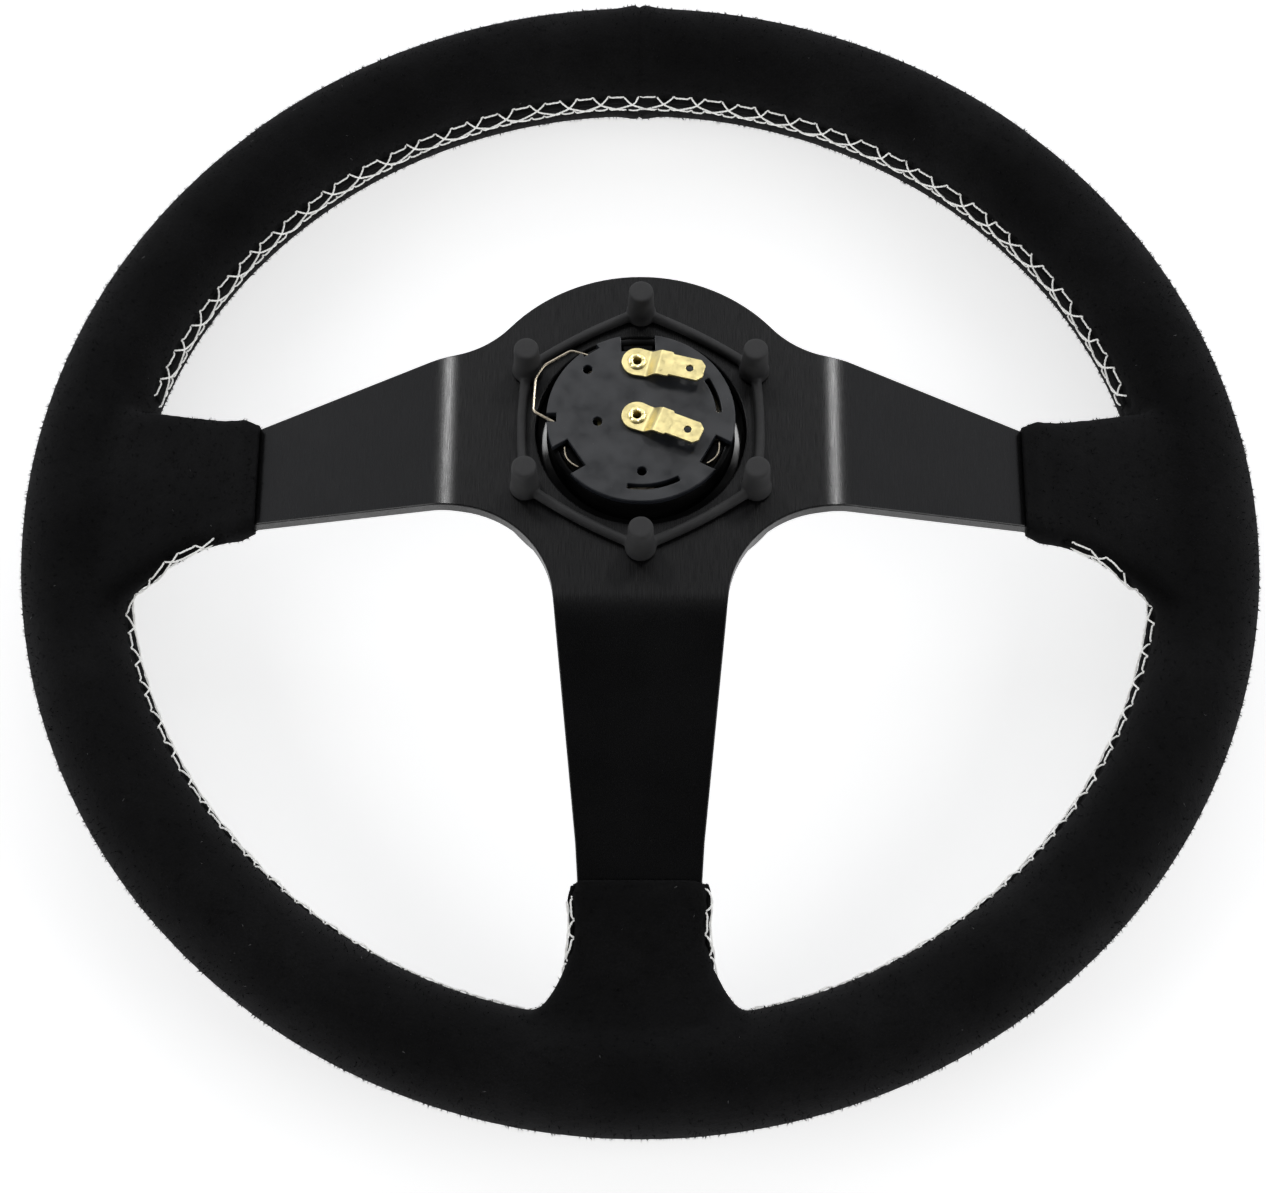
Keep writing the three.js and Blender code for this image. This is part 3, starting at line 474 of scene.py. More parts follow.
holes = [circle(screw_hole, polar(screw_circle, a), 24) for a in screw_angles]
spoke_plate = cut_sheet(
    "spoke_plate", [plate_outline(), circle(bore_radius, steps=96), *holes],
    plate_thickness, plate_edge, black_anodised,
)
fold_stations = [46.0, *np.linspace(47.9, 55.7, 15), 58.0, 75.0, 95.0, 115.0, 135.0, 150.5]
fold_stations += [*np.linspace(152.1, 154.6, 6), 156.0]
score_lines = []
for station in fold_stations:
    for sign in (-1, 1):
        score_lines.append(((sign * station * mm, 0, 0), (1, 0, 0)))
    score_lines.append(((0, -station * mm, 0), (0, 1, 0)))
score(spoke_plate, score_lines)
worn_edge = spoke_plate.data.color_attributes.new("worn_edge", "FLOAT_COLOR", "POINT")
for item, vertex in zip(worn_edge.data, spoke_plate.data.vertices):
    depth = plate_thickness / 2 - abs(vertex.co.z)
    bare = 1.0 if 1e-6 < depth < 0.1 * plate_thickness else 0.0
    item.color = (bare, bare, bare, 1.0)
move_points(spoke_plate, fold_plate)
finish_mesh(spoke_plate, smooth_angle=12, merge=1e-7)
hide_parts("spoke_frame")
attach(spoke_plate, "wheel")

# ---------------------------------------------------------------- core ring, rivets and contacts
# Pieces that lie inside the wheel and are seen only through gaps: the rolled aluminium ring
# in the rim, the rivets through it, and the horn's contact plates. Each gets its metal.


def metal(name, colour, roughness, scale=900.0, depth=0.01 * mm):
    """Bare metal with fine scratches and a slow change of tone."""
    material, tree, shader = new_material(name, metallic=1.0)
    where = place(tree)
    scratches = noise(tree, where, scale, detail=5.0, roughness=0.7)
    tone = mix(tree, 0.5, scratches, noise(tree, where, 180.0), "FLOAT")
    low = tuple(0.86 * value for value in colour)
    tree.links.new(shades(tree, tone, [(0.33, low), (0.62, colour)]), shader.inputs["Base Color"])
    dull = shades(tree, scratches, [(0.3, roughness * 0.75), (0.7, roughness * 1.3)])
    tree.links.new(dull, shader.inputs["Roughness"])
    relief(tree, shader, scratches, depth, 0.4)
    return material


bare_aluminium = metal("bare_aluminium", (0.62, 0.63, 0.65), 0.3)
spring_steel = metal("spring_steel", (0.50, 0.44, 0.34), 0.30, 2600.0)
pale_brass = metal("pale_brass", (0.88, 0.76, 0.37), 0.36, 700.0, depth=0.004 * mm)


def give_finish(node, material):
    """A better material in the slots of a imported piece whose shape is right."""
    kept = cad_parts[node]
    for kept_slot in kept.material_slots:
        kept_slot.material = material


give_finish("rim_core_ring", bare_aluminium)
for arm in ("right", "left", "lower"):
    give_finish(f"spoke_rivet_{arm}_1", bare_aluminium)
    give_finish(f"spoke_rivet_{arm}_2", bare_aluminium)
give_finish("moving_contact", spring_steel)
give_finish("fixed_contact", pale_brass)

# ---------------------------------------------------------------- suede cover
# Black suede over foam: an oval rim, and a sleeve down each arm that ends in a rolled mouth.
# The skin is stretched over the foam, so the sleeves run into the rim in soft hollows.

rim_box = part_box("suede_cover")
rim_radius = 159.8 * mm
rim_half_width = 15.2 * mm
rim_half_height = 18.4 * mm
sleeve_length = 54.8 * mm
sleeve_reach = 0.9
mouth_margin = 2.0 * mm
mouth_half_height = 4.37 * mm
sleeve_growth = 7.0 * mm
lower_mouth = sleeve_mouth + 9.5 * mm
side_sleeve = (sleeve_mouth, side_half + mouth_margin, (20 * mm, 0.85), (28 * mm, 2.6))
lower_sleeve = (lower_mouth, lower_half + 1.2 * mm, (37 * mm, 3.5), (37 * mm, 3.5))
suede_voxel = 1.25 * mm


def arm_height(distance):
    """Height of the middle of an arm at a distance from the axis."""
    return fold(distance, 0.0)[1]


def sleeve_rows(sleeve):
    """Rounded sections of a sleeve on the right arm, from its mouth out into the rim."""
    rows = []
    mouth, mouth_half_width, (upper, upper_power), (lower, lower_power) = sleeve
    for step in range(31):
        share = sleeve_reach * step / 30
        distance = mouth + share * (sleeve_mouth + sleeve_length - mouth)
        top = mouth_half_width + upper * share ** upper_power
        bottom = mouth_half_width + lower * share ** lower_power
        half = mouth_half_height + sleeve_growth * share ** 2.5
        # The mouth's rolled end: full just behind the lip, and drawn in at the lip itself.
        back = (distance - mouth) / mm
        swell = 0.5 * mm * math.exp(-((back - 4.0) / 1.5) ** 2)
        pinch = 0.4 * mm * math.exp(-((back - 1.8) / 1.2) ** 2)
        roll = swell - pinch
        top, bottom, half = top + roll, bottom + roll, half + roll
        corner = 0.8 * half
        slope_height = plate_middle - (distance - hub_fold_at + 0.5 * mm) * math.tan(arm_slope)
        outline = eased([
            (top, half, corner), (-bottom, half, corner),
            (-bottom, -half, corner), (top, -half, corner),
        ], steps=8)
        rows.append([(distance, y, slope_height + z) for y, z in outline])
    return rows


def skin_over(rows):
    """Points and faces of a skin over closed rows of points, with flat ends."""
    count = len(rows[0])
    points = [point for row in rows for point in row]
    faces = []
    for row in range(len(rows) - 1):
        for side in range(count):
            a, b = row * count + side, row * count + (side + 1) % count
            faces.append((a, b, b + count, a + count))
    faces.append(tuple(range(count)))
    faces.append(tuple(range(len(points) - count, len(points))))
    return points, faces


def rim_ring():
    rows, sides = 240, 64
    points, faces = [], []
    for i in range(rows):
        turn = 2 * math.pi * i / rows
        for j in range(sides):
            a = 2 * math.pi * j / sides
            reach = rim_radius + rim_half_width * math.cos(a)
            height = rim_half_height + rim_half_height * math.sin(a)
            points.append((reach * math.cos(turn), reach * math.sin(turn), height))
            along, across = (i + 1) % rows, (j + 1) % sides
            faces.append((i * sides + j, along * sides + j, along * sides + across, i * sides + across))
    return points, faces


def turned_about(points, angle, mirror=False):
    c, s = math.cos(math.radians(angle)), math.sin(math.radians(angle))
    flip = -1 if mirror else 1
    return [(flip * (c * x - s * y), s * x + c * y, z) for x, y, z in points]


cover_points, cover_faces = rim_ring()
side_points, sleeve_faces = skin_over(sleeve_rows(side_sleeve))
lower_points, _ = skin_over(sleeve_rows(lower_sleeve))
for sleeve_points in (
    side_points,
    turned_about(side_points, 0, mirror=True),
    turned_about(lower_points, -90),
):
    first = len(cover_points)
    cover_points += sleeve_points
    cover_faces += [tuple(first + i for i in face) for face in sleeve_faces]
cover_mesh = bpy.data.meshes.new("suede_cover_skin")
cover_mesh.from_pydata(cover_points, [], cover_faces)
suede_cover = add_object("suede_cover_skin", cover_mesh)
finish_mesh(suede_cover, merge=1e-7)
stretch = suede_cover.modifiers.new("stretch", "REMESH")
stretch.mode = "VOXEL"
stretch.voxel_size = suede_voxel
freeze(suede_cover)


def mesh_arrays(mesh):
    points = np.empty(len(mesh.vertices) * 3)
    mesh.vertices.foreach_get("co", points)
    edges = np.empty(len(mesh.edges) * 2, dtype=np.int64)
    mesh.edges.foreach_get("vertices", edges)
    return points.reshape(-1, 3), edges.reshape(-1, 2)


def set_points(mesh, points):
    mesh.vertices.foreach_set("co", np.ascontiguousarray(points).ravel())
    mesh.update()


def relax(points, edges, rounds, strength):
    """Moves every point towards the middle of its neighbours; strength may differ by point."""
    ends = np.concatenate([edges[:, 0], edges[:, 1]])
    starts = np.concatenate([edges[:, 1], edges[:, 0]])
    count = np.bincount(ends, minlength=len(points)).reshape(-1, 1)
    for _ in range(rounds):
        total = np.stack([
            np.bincount(ends, weights=points[starts, axis], minlength=len(points)) for axis in range(3)
        ], axis=1)
        points = points + strength * (total / count - points)
    return points


def ramp(value, low, high):
    """0 below low, 1 above high, and a smooth rise between."""
    share = np.clip((value - low) / (high - low), 0.0, 1.0)
    return share * share * (3 - 2 * share)


# The leather bridges the inner corners between sleeves and rim, and stays crisp at the mouths.
# It is held tighter where the upper edge of a side sleeve meets the rim.
corner_x, corner_y, corner_size = 139 * mm, 34 * mm, 9 * mm
points, edges = mesh_arrays(suede_cover.data)
reach = np.maximum(np.abs(points[:, 0]), -points[:, 1])
mouths = np.where(-points[:, 1] > np.abs(points[:, 0]), lower_mouth, sleeve_mouth)
away_from_mouth = ramp(reach - mouths, 5 * mm, 14 * mm).reshape(-1, 1)
to_corner = np.hypot(np.abs(points[:, 0]) - corner_x, points[:, 1] - corner_y)
tight_corner = np.exp(-(to_corner / corner_size) ** 2)
give = 0.55 * away_from_mouth * (1 - 0.7 * tight_corner.reshape(-1, 1)) + 0.02
points = relax(points, edges, 18, give)
points = relax(points, edges, 2, 0.3)
set_points(suede_cover.data, points)

# The seam follows the inner edge of each opening. This walks out from a point in the opening
# to the edge of the cover as seen along the steering axis.


def covered(x, y):
    """Whether the cover lies over a point of the plan."""
    if math.hypot(x, y) > rim_radius - rim_half_width:
        return True
    for along, across, sleeve in ((abs(x), y, side_sleeve), (-y, x, lower_sleeve)):
        mouth, half, (upper, upper_power), (lower, lower_power) = sleeve
        share = (along - mouth) / (sleeve_mouth + sleeve_length - mouth)
        if share < 0:
            continue
        if -half - lower * share ** lower_power < across < half + upper * share ** upper_power:
            return True
    return False


def opening_edge(centre, start, end):
    """The edge of the cover round an opening, from one direction to another, in even steps."""
    found = []
    for angle in np.arange(start, end, 0.1):
        dx, dy = math.cos(math.radians(angle)), math.sin(math.radians(angle))
        reach = 4 * mm
        while not covered(centre[0] + reach * dx, centre[1] + reach * dy):
            reach += 1 * mm
        low, high = reach - 1 * mm, reach
        for _ in range(12):
            middle = (low + high) / 2
            if covered(centre[0] + middle * dx, centre[1] + middle * dy):
                high = middle
            else:
                low = middle
        found.append((centre[0] + high * dx, centre[1] + high * dy))
    return even(np.array(found), 1 * mm)


def even(path, step):
    """A path with its points spread evenly."""
    lengths = np.linalg.norm(np.diff(path, axis=0), axis=1)
    run = np.concatenate([[0], np.cumsum(lengths)])
    count = max(2, int(round(run[-1] / step)))
    where = np.linspace(0, run[-1], count + 1)
    return np.stack([np.interp(where, run, path[:, axis]) for axis in range(path.shape[1])], axis=1)


def smoothed(path, rounds):
    for _ in range(rounds):
        path[1:-1] = 0.25 * path[:-2] + 0.5 * path[1:-1] + 0.25 * path[2:]
    return path


class SeamSurface:
    """The cover's skin along a seam: a place from the run along it and the share across it."""

    shares = np.linspace(-0.8, 1.8, 27)

    def __init__(self, skin, centre, start, end, smoothing):
        path = even(smoothed(opening_edge(centre, start, end), smoothing), 1 * mm)
        self.length = 1 * mm * (len(path) - 1)
        ahead = np.gradient(path, axis=0)
        ahead /= np.linalg.norm(ahead, axis=1, keepdims=True)
        inward = np.stack([-ahead[:, 1], ahead[:, 0]], axis=1)
        self.places = np.zeros((len(path), len(self.shares), 3))
        self.normals = np.zeros_like(self.places)
        for i, (edge, into) in enumerate(zip(path, inward)):
            reach = max(abs(edge[0]), -edge[1])
            on_rim = float(ramp(np.hypot(*edge), 130 * mm, 145 * mm))
            share = (reach - sleeve_mouth) / sleeve_length
            sleeve_half = mouth_half_height + sleeve_growth * max(share, 0) ** 2.5
            depth = sleeve_half + on_rim * (rim_half_width - sleeve_half)
            height = arm_height(reach) + on_rim * (rim_half_height - arm_height(reach))
            middle = Vector((edge[0] - into[0] * depth, edge[1] - into[1] * depth, height))
            spread = seam_width / max(depth + 1.2 * mm, 11 * mm)
            rim_lean = math.radians(np.interp(edge[1] / mm, (-140, -75, 0, 150), (2, 15.5, 15.5, 1.6)))
            seam_lean = sleeve_lean + on_rim * (rim_lean - sleeve_lean)
            for j, across in enumerate(self.shares):
                lean = seam_lean + (0.5 - across) * spread
                aim = Vector((into[0] * math.cos(lean), into[1] * math.cos(lean), math.sin(lean)))
                hit, normal, _, _ = skin.ray_cast(middle + aim * 45 * mm, -aim)
                if hit is None:
                    hit, normal = middle + aim * depth, aim
                self.places[i, j], self.normals[i, j] = hit, normal

    def at(self, run, across, lift=0.0):
        """The point at a run in metres and a share across, lifted off the skin."""
        i = np.clip(run / mm, 0, len(self.places) - 1.001)
        step = self.shares[1] - self.shares[0]
        j = np.clip((across - self.shares[0]) / step, 0, len(self.shares) - 1.001)
        a, b = int(i), int(j)
        u, v = i - a, j - b

        def blend(grid):
            near = grid[a, b] * (1 - u) + grid[a + 1, b] * u
            far = grid[a, b + 1] * (1 - u) + grid[a + 1, b + 1] * u
            return near * (1 - v) + far * v

        normal = blend(self.normals)
        return blend(self.places) + lift * normal / np.linalg.norm(normal)


seam_width = 6.6 * mm
sleeve_lean = math.radians(15)
stitch_pitch = 9.8 * mm
skin = BVHTree.FromObject(suede_cover, bpy.context.evaluated_depsgraph_get())
seams = {
    "top": SeamSurface(skin, (0.0, 60 * mm), -9, 189, 8),
    "lower_left": SeamSurface(skin, (-75 * mm, -75 * mm), 124, 326, 30),
    "lower_right": SeamSurface(skin, (75 * mm, -75 * mm), -146, 56, 30),
}

# The thread pulls each hole in and draws a shallow valley along both rows. At 12 o'clock the
# two ends of the leather meet in a low crest with a notch.
hole_places, valley_places = [], []
for seam in seams.values():
    for run in np.arange(0, seam.length, stitch_pitch / 2):
        hole_places += [seam.at(run, -0.02), seam.at(run, 1.02)]
    for run in np.arange(0, seam.length, 1 * mm):
        valley_places += [seam.at(run, 0.0), seam.at(run, 1.0)]


def nearest(points, targets, limit):
    """Distance from each point to the nearest target, up to a limit."""
    grid = {}
    for index, target in enumerate(np.floor(targets / limit).astype(int)):
        grid.setdefault(tuple(target), []).append(index)
    distances = np.full(len(points), limit)
    keys = np.floor(points / limit).astype(int)
    order = np.lexsort(keys.T)
    keys_sorted = keys[order]
    starts = np.concatenate([[0], np.nonzero(np.any(np.diff(keys_sorted, axis=0), axis=1))[0] + 1])
    for start, stop in zip(starts, [*starts[1:], len(points)]):
        home = keys_sorted[start]
        near = []
        for dx in (-1, 0, 1):
            for dy in (-1, 0, 1):
                for dz in (-1, 0, 1):
                    near += grid.get((home[0] + dx, home[1] + dy, home[2] + dz), [])
        if near:
            members = order[start:stop]
            gaps = points[members][:, None, :] - targets[near][None, :, :]
            distances[members] = np.minimum(limit, np.linalg.norm(gaps, axis=2).min(axis=1))
    return distances


points, edges = mesh_arrays(suede_cover.data)
outward = np.empty(len(points) * 3)
suede_cover.data.vertices.foreach_get("normal", outward)
outward = outward.reshape(-1, 3)
to_hole = nearest(points, np.array(hole_places), 4 * mm)
to_valley = nearest(points, np.array(valley_places), 5 * mm)
hole_sink = 0.55 * mm * np.exp(-(to_hole / (1.3 * mm)) ** 2)
valley_sink = 0.25 * mm * np.exp(-(to_valley / (1.2 * mm)) ** 2)
butt = points[:, 0] + 0.5 * mm
crest = 1.15 * mm * np.exp(-(butt / (4.6 * mm)) ** 2) - 0.9 * mm * np.exp(-(butt / (0.9 * mm)) ** 2)
at_top = (points[:, 1] > 100 * mm) * ramp(points[:, 2], 2 * mm, 9 * mm)
points += outward * (-hole_sink - valley_sink + crest * at_top).reshape(-1, 1)
points[:, 2] = np.maximum(points[:, 2], rim_box[0].z + 0.02 * mm)
set_points(suede_cover.data, points)

# Black suede: raised nap in soft clouds, brushed lighter and darker, with a pale bloom at
# grazing angles.
black_suede, tree, shader = new_material("black_suede", roughness=0.95)
shader.inputs["Specular IOR Level"].default_value = 0.03
shader.inputs["Sheen Weight"].default_value = 0.035
shader.inputs["Sheen Roughness"].default_value = 0.55
shader.inputs["Sheen Tint"].default_value = (0.75, 0.75, 0.8, 1.0)
where = place(tree)
brushed = noise(tree, where, 26.0, detail=5.0, roughness=0.6)
nap = noise(tree, where, 1500.0, detail=3.0, roughness=0.8)
tufts = noise(tree, where, 420.0, detail=3.0, roughness=0.7)
hide = shades(tree, mix(tree, 0.45, brushed, nap, "FLOAT"), [
    (0.34, (0.0065, 0.0065, 0.0066)), (0.5, (0.0105, 0.0105, 0.0108)), (0.66, (0.018, 0.018, 0.0186)),
])
tree.links.new(hide, shader.inputs["Base Color"])
tree.links.new(shades(tree, nap, [(0.3, 0.85), (0.7, 1.0)]), shader.inputs["Roughness"])
coarse = relief(tree, shader, tufts, 0.35 * mm, 0.5)
relief(tree, shader, nap, 0.18 * mm, 0.8, under=coarse)

for face in suede_cover.data.polygons:
    face.use_smooth = True


def raw_edge(seam):
    """The two cut edges of the leather standing proud between the rows, drawn in by each stitch."""
    across = [0.16, 0.26, 0.36, 0.45, 0.5, 0.55, 0.64, 0.74, 0.84, 0.5]
    lift = [-0.4, 0.25, 0.62, 0.62, 0.3, 0.62, 0.62, 0.25, -0.4, -0.9]
    rows = []
    for run in np.arange(1.0 * mm, seam.length - 1.0 * mm, 0.8 * mm):
        swell = 0.78 + 0.22 * math.cos(2 * math.pi * run / (stitch_pitch / 2) + math.pi)
        rough = fringe.uniform(0.85, 1.15)
        rows.append([
            tuple(seam.at(run, share, height * mm * (swell * rough if height > 0 else 1.0)))
            for share, height in zip(across, lift)
        ])
    return skin_over(rows)


fringe = random.Random(4)
edge_points, edge_faces = [], []
for seam in seams.values():
    strip_points, strip_faces = raw_edge(seam)
    first = len(edge_points)
    edge_points += strip_points
    edge_faces += [tuple(first + i for i in face) for face in strip_faces]
edge_mesh = bpy.data.meshes.new("leather_edges")
edge_mesh.from_pydata(edge_points, [], edge_faces)
leather_edges = new_piece("leather_edges", edge_mesh, black_suede)
finish_mesh(leather_edges, smooth_angle=180, merge=1e-8)

cover_shell = suede_cover.data
bpy.data.objects.remove(suede_cover)
suede_cover = new_piece("rim_suede_cover", cover_shell, black_suede)


def named_tree(name, sockets):
    """A Geometry Nodes tree with a geometry in and out, and its named inputs."""
    group = bpy.data.node_groups.new(name, "GeometryNodeTree")
    group.interface.new_socket("Geometry", in_out="INPUT", socket_type="NodeSocketGeometry")
    for label, kind in sockets:
        group.interface.new_socket(label, in_out="INPUT", socket_type=kind)
    group.interface.new_socket("Geometry", in_out="OUTPUT", socket_type="NodeSocketGeometry")
    return group, group.nodes.new("NodeGroupInput").outputs, group.nodes.new("NodeGroupOutput")


def run_tree(piece, group, values):
    """Runs a tree on a piece with its inputs set, and keeps the result as a plain mesh."""
    modifier = piece.modifiers.new(group.name, "NODES")
    modifier.node_group = group
    for item in group.interface.items_tree:
        if item.in_out == "INPUT" and item.name in values:
            modifier[item.identifier] = values[item.name]
    return freeze(piece)


# Nap: short fibres that stand out of the leather and blur its outline, scattered by a tree.
nap_tree, given, result = named_tree("scatter_fibres", [
    ("Count", "NodeSocketFloat"), ("Length", "NodeSocketFloat"), ("Width", "NodeSocketFloat"),
    ("Lean", "NodeSocketFloat"), ("Seed", "NodeSocketInt"), ("Finish", "NodeSocketMaterial"),
])
scatter = add_node(nap_tree, "GeometryNodeDistributePointsOnFaces", {
    "Mesh": given["Geometry"], "Density": given["Count"], "Seed": given["Seed"],
})
blade = add_node(nap_tree, "GeometryNodeMeshCone", {
    "Vertices": 3, "Side Segments": 1, "Radius Top": 0.0, "Radius Bottom": given["Width"],
    "Depth": given["Length"],
}, fill_type="NONE")
lean_low = add_node(nap_tree, "ShaderNodeVectorMath", {
    0: (-1.0, -1.0, 0.0), "Scale": given["Lean"],
}, operation="SCALE")
lean_high = add_node(nap_tree, "ShaderNodeVectorMath", {
    0: (1.0, 1.0, 6.28), "Scale": given["Lean"],
}, operation="SCALE")
tilt_range = add_node(nap_tree, "FunctionNodeRandomValue", {
    "Min": lean_low.outputs["Vector"], "Max": lean_high.outputs["Vector"], "Seed": 7,
}, data_type="FLOAT_VECTOR")
tilted = add_node(nap_tree, "FunctionNodeRotateEuler", {
    "Rotation": scatter.outputs["Rotation"], "Rotate By": tilt_range.outputs[0],
}, space="LOCAL")
sizes = add_node(nap_tree, "FunctionNodeRandomValue", {2: 0.45, 3: 1.2, "Seed": 11}, data_type="FLOAT")
stand = add_node(nap_tree, "GeometryNodeInstanceOnPoints", {
    "Points": scatter.outputs["Points"], "Instance": blade.outputs["Mesh"],
    "Rotation": tilted.outputs["Rotation"], "Scale": sizes.outputs[1],
})
single = add_node(nap_tree, "GeometryNodeRealizeInstances", {"Geometry": stand.outputs["Instances"]})
finish = add_node(nap_tree, "GeometryNodeSetMaterial", {
    "Geometry": single.outputs["Geometry"], "Material": given["Finish"],
})
nap_tree.links.new(finish.outputs["Geometry"], result.inputs["Geometry"])

grey_lint, tree, shader = new_material("grey_lint", roughness=0.9)
lint_tone = shades(tree, noise(tree, place(tree), 300.0), [(0.35, 0.12), (0.65, 0.4)])
tree.links.new(lint_tone, shader.inputs["Base Color"])


def keep_off_table(piece):
    """Fibres and skin bend up where they would reach through the table."""
    points, _ = mesh_arrays(piece.data)
    points[:, 2] = np.maximum(points[:, 2], 0.0)
    set_points(piece.data, points)


suede_nap = new_piece("suede_nap", suede_cover.data.copy(), black_suede)
run_tree(suede_nap, nap_tree, {
    "Count": 230000.0, "Length": 1.0 * mm, "Width": 0.16 * mm, "Lean": 0.9, "Seed": 3,
    "Finish": black_suede,
})
suede_lint = new_piece("suede_lint", suede_cover.data.copy(), grey_lint)
run_tree(suede_lint, nap_tree, {
    "Count": 1600.0, "Length": 1.1 * mm, "Width": 0.07 * mm, "Lean": 1.5, "Seed": 9,
    "Finish": grey_lint,
})
keep_off_table(suede_nap)
keep_off_table(suede_lint)
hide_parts("suede_cover", "rim_foam")
for piece in (suede_cover, leather_edges, suede_nap, suede_lint):
    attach(piece, "wheel")

# ---------------------------------------------------------------- stitching
# White waxed thread of two plies, laced across the butted edges of the leather. Three runs
# cross each other between two rows of holes, with a short stitch along a row at each turn.

thread_radius = 0.3 * mm
thread_lay = 2.2 * mm
thread_flatness = 0.68
lacing_repeat = 3
# Each knot of the lacing: stitches along the seam, share across it, and lift in mm.
lacing = [
    (-0.20, 0.0, 0.32), (0.0, -0.01, 0.40), (0.20, 0.0, 0.32), (0.25, 0.01, -0.7), (0.30, 0.05, 0.3),
    (0.5, 0.36, 0.95), (0.75, 0.62, 0.8), (1.0, 0.84, 0.6), (1.24, 0.99, 0.3), (1.29, 1.0, -0.7),
    (1.34, 1.01, 0.3), (1.5, 1.03, 0.4), (1.66, 1.01, 0.3), (1.71, 1.0, -0.7), (1.76, 0.99, 0.3),
    (2.0, 0.84, 0.75), (2.25, 0.62, 0.95), (2.5, 0.36, 1.1), (2.70, 0.05, 0.3), (2.75, 0.01, -0.7),
]

white_thread_glowing, tree, shader = new_material("white_thread_glowing", roughness=0.75)
shader.inputs["Sheen Weight"].default_value = 0.2
soil = noise(tree, place(tree), 260.0, detail=4.0)
thread_tone_and_glow = shades(tree, soil, [(0.3, (0.84, 0.84, 0.81)), (0.6, (0.96, 0.96, 0.94))])
tree.links.new(thread_tone_and_glow, shader.inputs["Base Color"])
# The thread's tone also drives a faint glow of its own: painted light, which makes the white thread brighter
# than the lamps alone would.
tree.links.new(thread_tone_and_glow, shader.inputs["Emission Color"])
shader.inputs["Emission Strength"].default_value = 0.4
relief(tree, shader, noise(tree, place(tree), 4000.0), 0.05 * mm, 0.6)

thread_tree, given, result = named_tree("lay_thread", [
    ("Radius", "NodeSocketFloat"), ("Lay", "NodeSocketFloat"), ("Step", "NodeSocketFloat"),
    ("Finish", "NodeSocketMaterial"),
])
laid = add_node(thread_tree, "GeometryNodeMeshToCurve", {"Mesh": given["Geometry"]})
even_steps = add_node(thread_tree, "GeometryNodeResampleCurve", {
    "Curve": laid.outputs["Curve"], "Length": given["Step"],
}, mode="LENGTH")
run_length = add_node(thread_tree, "GeometryNodeSplineParameter").outputs["Length"]
twist = maths(thread_tree, "DIVIDE", run_length, given["Lay"])
twisted = add_node(thread_tree, "GeometryNodeSetCurveTilt", {
    "Curve": even_steps.outputs["Curve"], "Tilt": maths(thread_tree, "MULTIPLY", twist, 2 * math.pi),
})
section = add_node(thread_tree, "GeometryNodeCurvePrimitiveCircle", {
    "Resolution": 8, "Radius": given["Radius"],
}, mode="RADIUS")
squeeze = add_node(thread_tree, "GeometryNodeTransform", {
    "Geometry": section.outputs["Curve"], "Scale": (1.0, thread_flatness, 1.0),
})
tube = add_node(thread_tree, "GeometryNodeCurveToMesh", {
    "Curve": twisted.outputs["Curve"], "Profile Curve": squeeze.outputs["Geometry"], "Fill Caps": True,
})
real = add_node(thread_tree, "GeometryNodeRealizeInstances", {"Geometry": tube.outputs["Mesh"]})
finish = add_node(thread_tree, "GeometryNodeSetMaterial", {
    "Geometry": real.outputs["Geometry"], "Material": given["Finish"],
})
thread_tree.links.new(finish.outputs["Geometry"], result.inputs["Geometry"])


def lace(seam, start, hand):
    """One thread's path over the holes of a seam, as points on the skin."""
    knots = []
    turns = int(seam.length / (lacing_repeat * stitch_pitch)) + 2
    for turn in range(-1, turns):
        for i, (run, across, lift) in enumerate(lacing):
            if i % 5 == 0:
                slip, stray = hand.uniform(-0.45, 0.45) * mm, hand.uniform(-0.07, 0.07)
            place_along = (run + lacing_repeat * turn + start) * stitch_pitch + slip
            if 1.0 * mm < place_along < seam.length - 1.0 * mm:
                knots.append((place_along, across + stray, lift * mm))
    path = []
    for a, b, c, d in zip(knots, knots[1:], knots[2:], knots[3:]):
        for step in range(5):
            t = step / 5
            mixed = [
                0.5 * (
                    2 * q + (r - p) * t + (2 * p - 5 * q + 4 * r - s) * t * t
                    + (3 * q - p - 3 * r + s) * t ** 3
                )
                for p, q, r, s in zip(a, b, c, d)
            ]
            path.append(tuple(seam.at(*mixed)))
    return path


sewing = random.Random(12)
for name, seam in seams.items():
    thread_points, thread_edges = [], []
    for start in range(lacing_repeat):
        path = lace(seam, start, sewing)
        first = len(thread_points)
        thread_points += path
        thread_edges += [(first + i, first + i + 1) for i in range(len(path) - 1)]
    thread_mesh = bpy.data.meshes.new("stitching_" + name)
    thread_mesh.from_pydata(thread_points, thread_edges, [])
    stitching = new_piece("thread_" + name, thread_mesh, white_thread_glowing)
    run_tree(stitching, thread_tree, {
        "Radius": thread_radius, "Lay": thread_lay, "Step": 0.5 * mm, "Finish": white_thread_glowing,
    })
    finish_mesh(stitching, smooth_angle=75, merge=1e-9)
    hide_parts("stitching_" + name)
    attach(stitching, "wheel")

# ---------------------------------------------------------------- trim ring and screws
# A flat ring on the plate's front, which covers the cup's flange. Six black M5 countersunk
# socket screws run through it, the plate and the hub of the car.

trim_front, trim_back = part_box("trim_ring")[0].z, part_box("trim_ring")[1].z
trim_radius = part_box("trim_ring")[1].x
trim_bore, trim_hole = 27.2 * mm, 5.1 * mm
screw_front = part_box("hub_screw_1")[0].z
screw_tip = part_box("hub_screw_1")[1].z
screw_head, screw_shank, screw_head_depth = 4.8 * mm, 2.5 * mm, 2.3 * mm
socket_radius, socket_depth = 1.75 * mm, 1.9 * mm
thread_pitch = 0.8 * mm


def put_down(piece, height, place_at=(0.0, 0.0), angle=0.0):
    """Turns a piece in the plan, then moves it to its place and height."""
    x, y = place_at
    c, s = math.cos(math.radians(angle)), math.sin(math.radians(angle))
    move_points(piece, lambda p: Vector((x + p.x * c - p.y * s, y + p.x * s + p.y * c, p.z + height)))


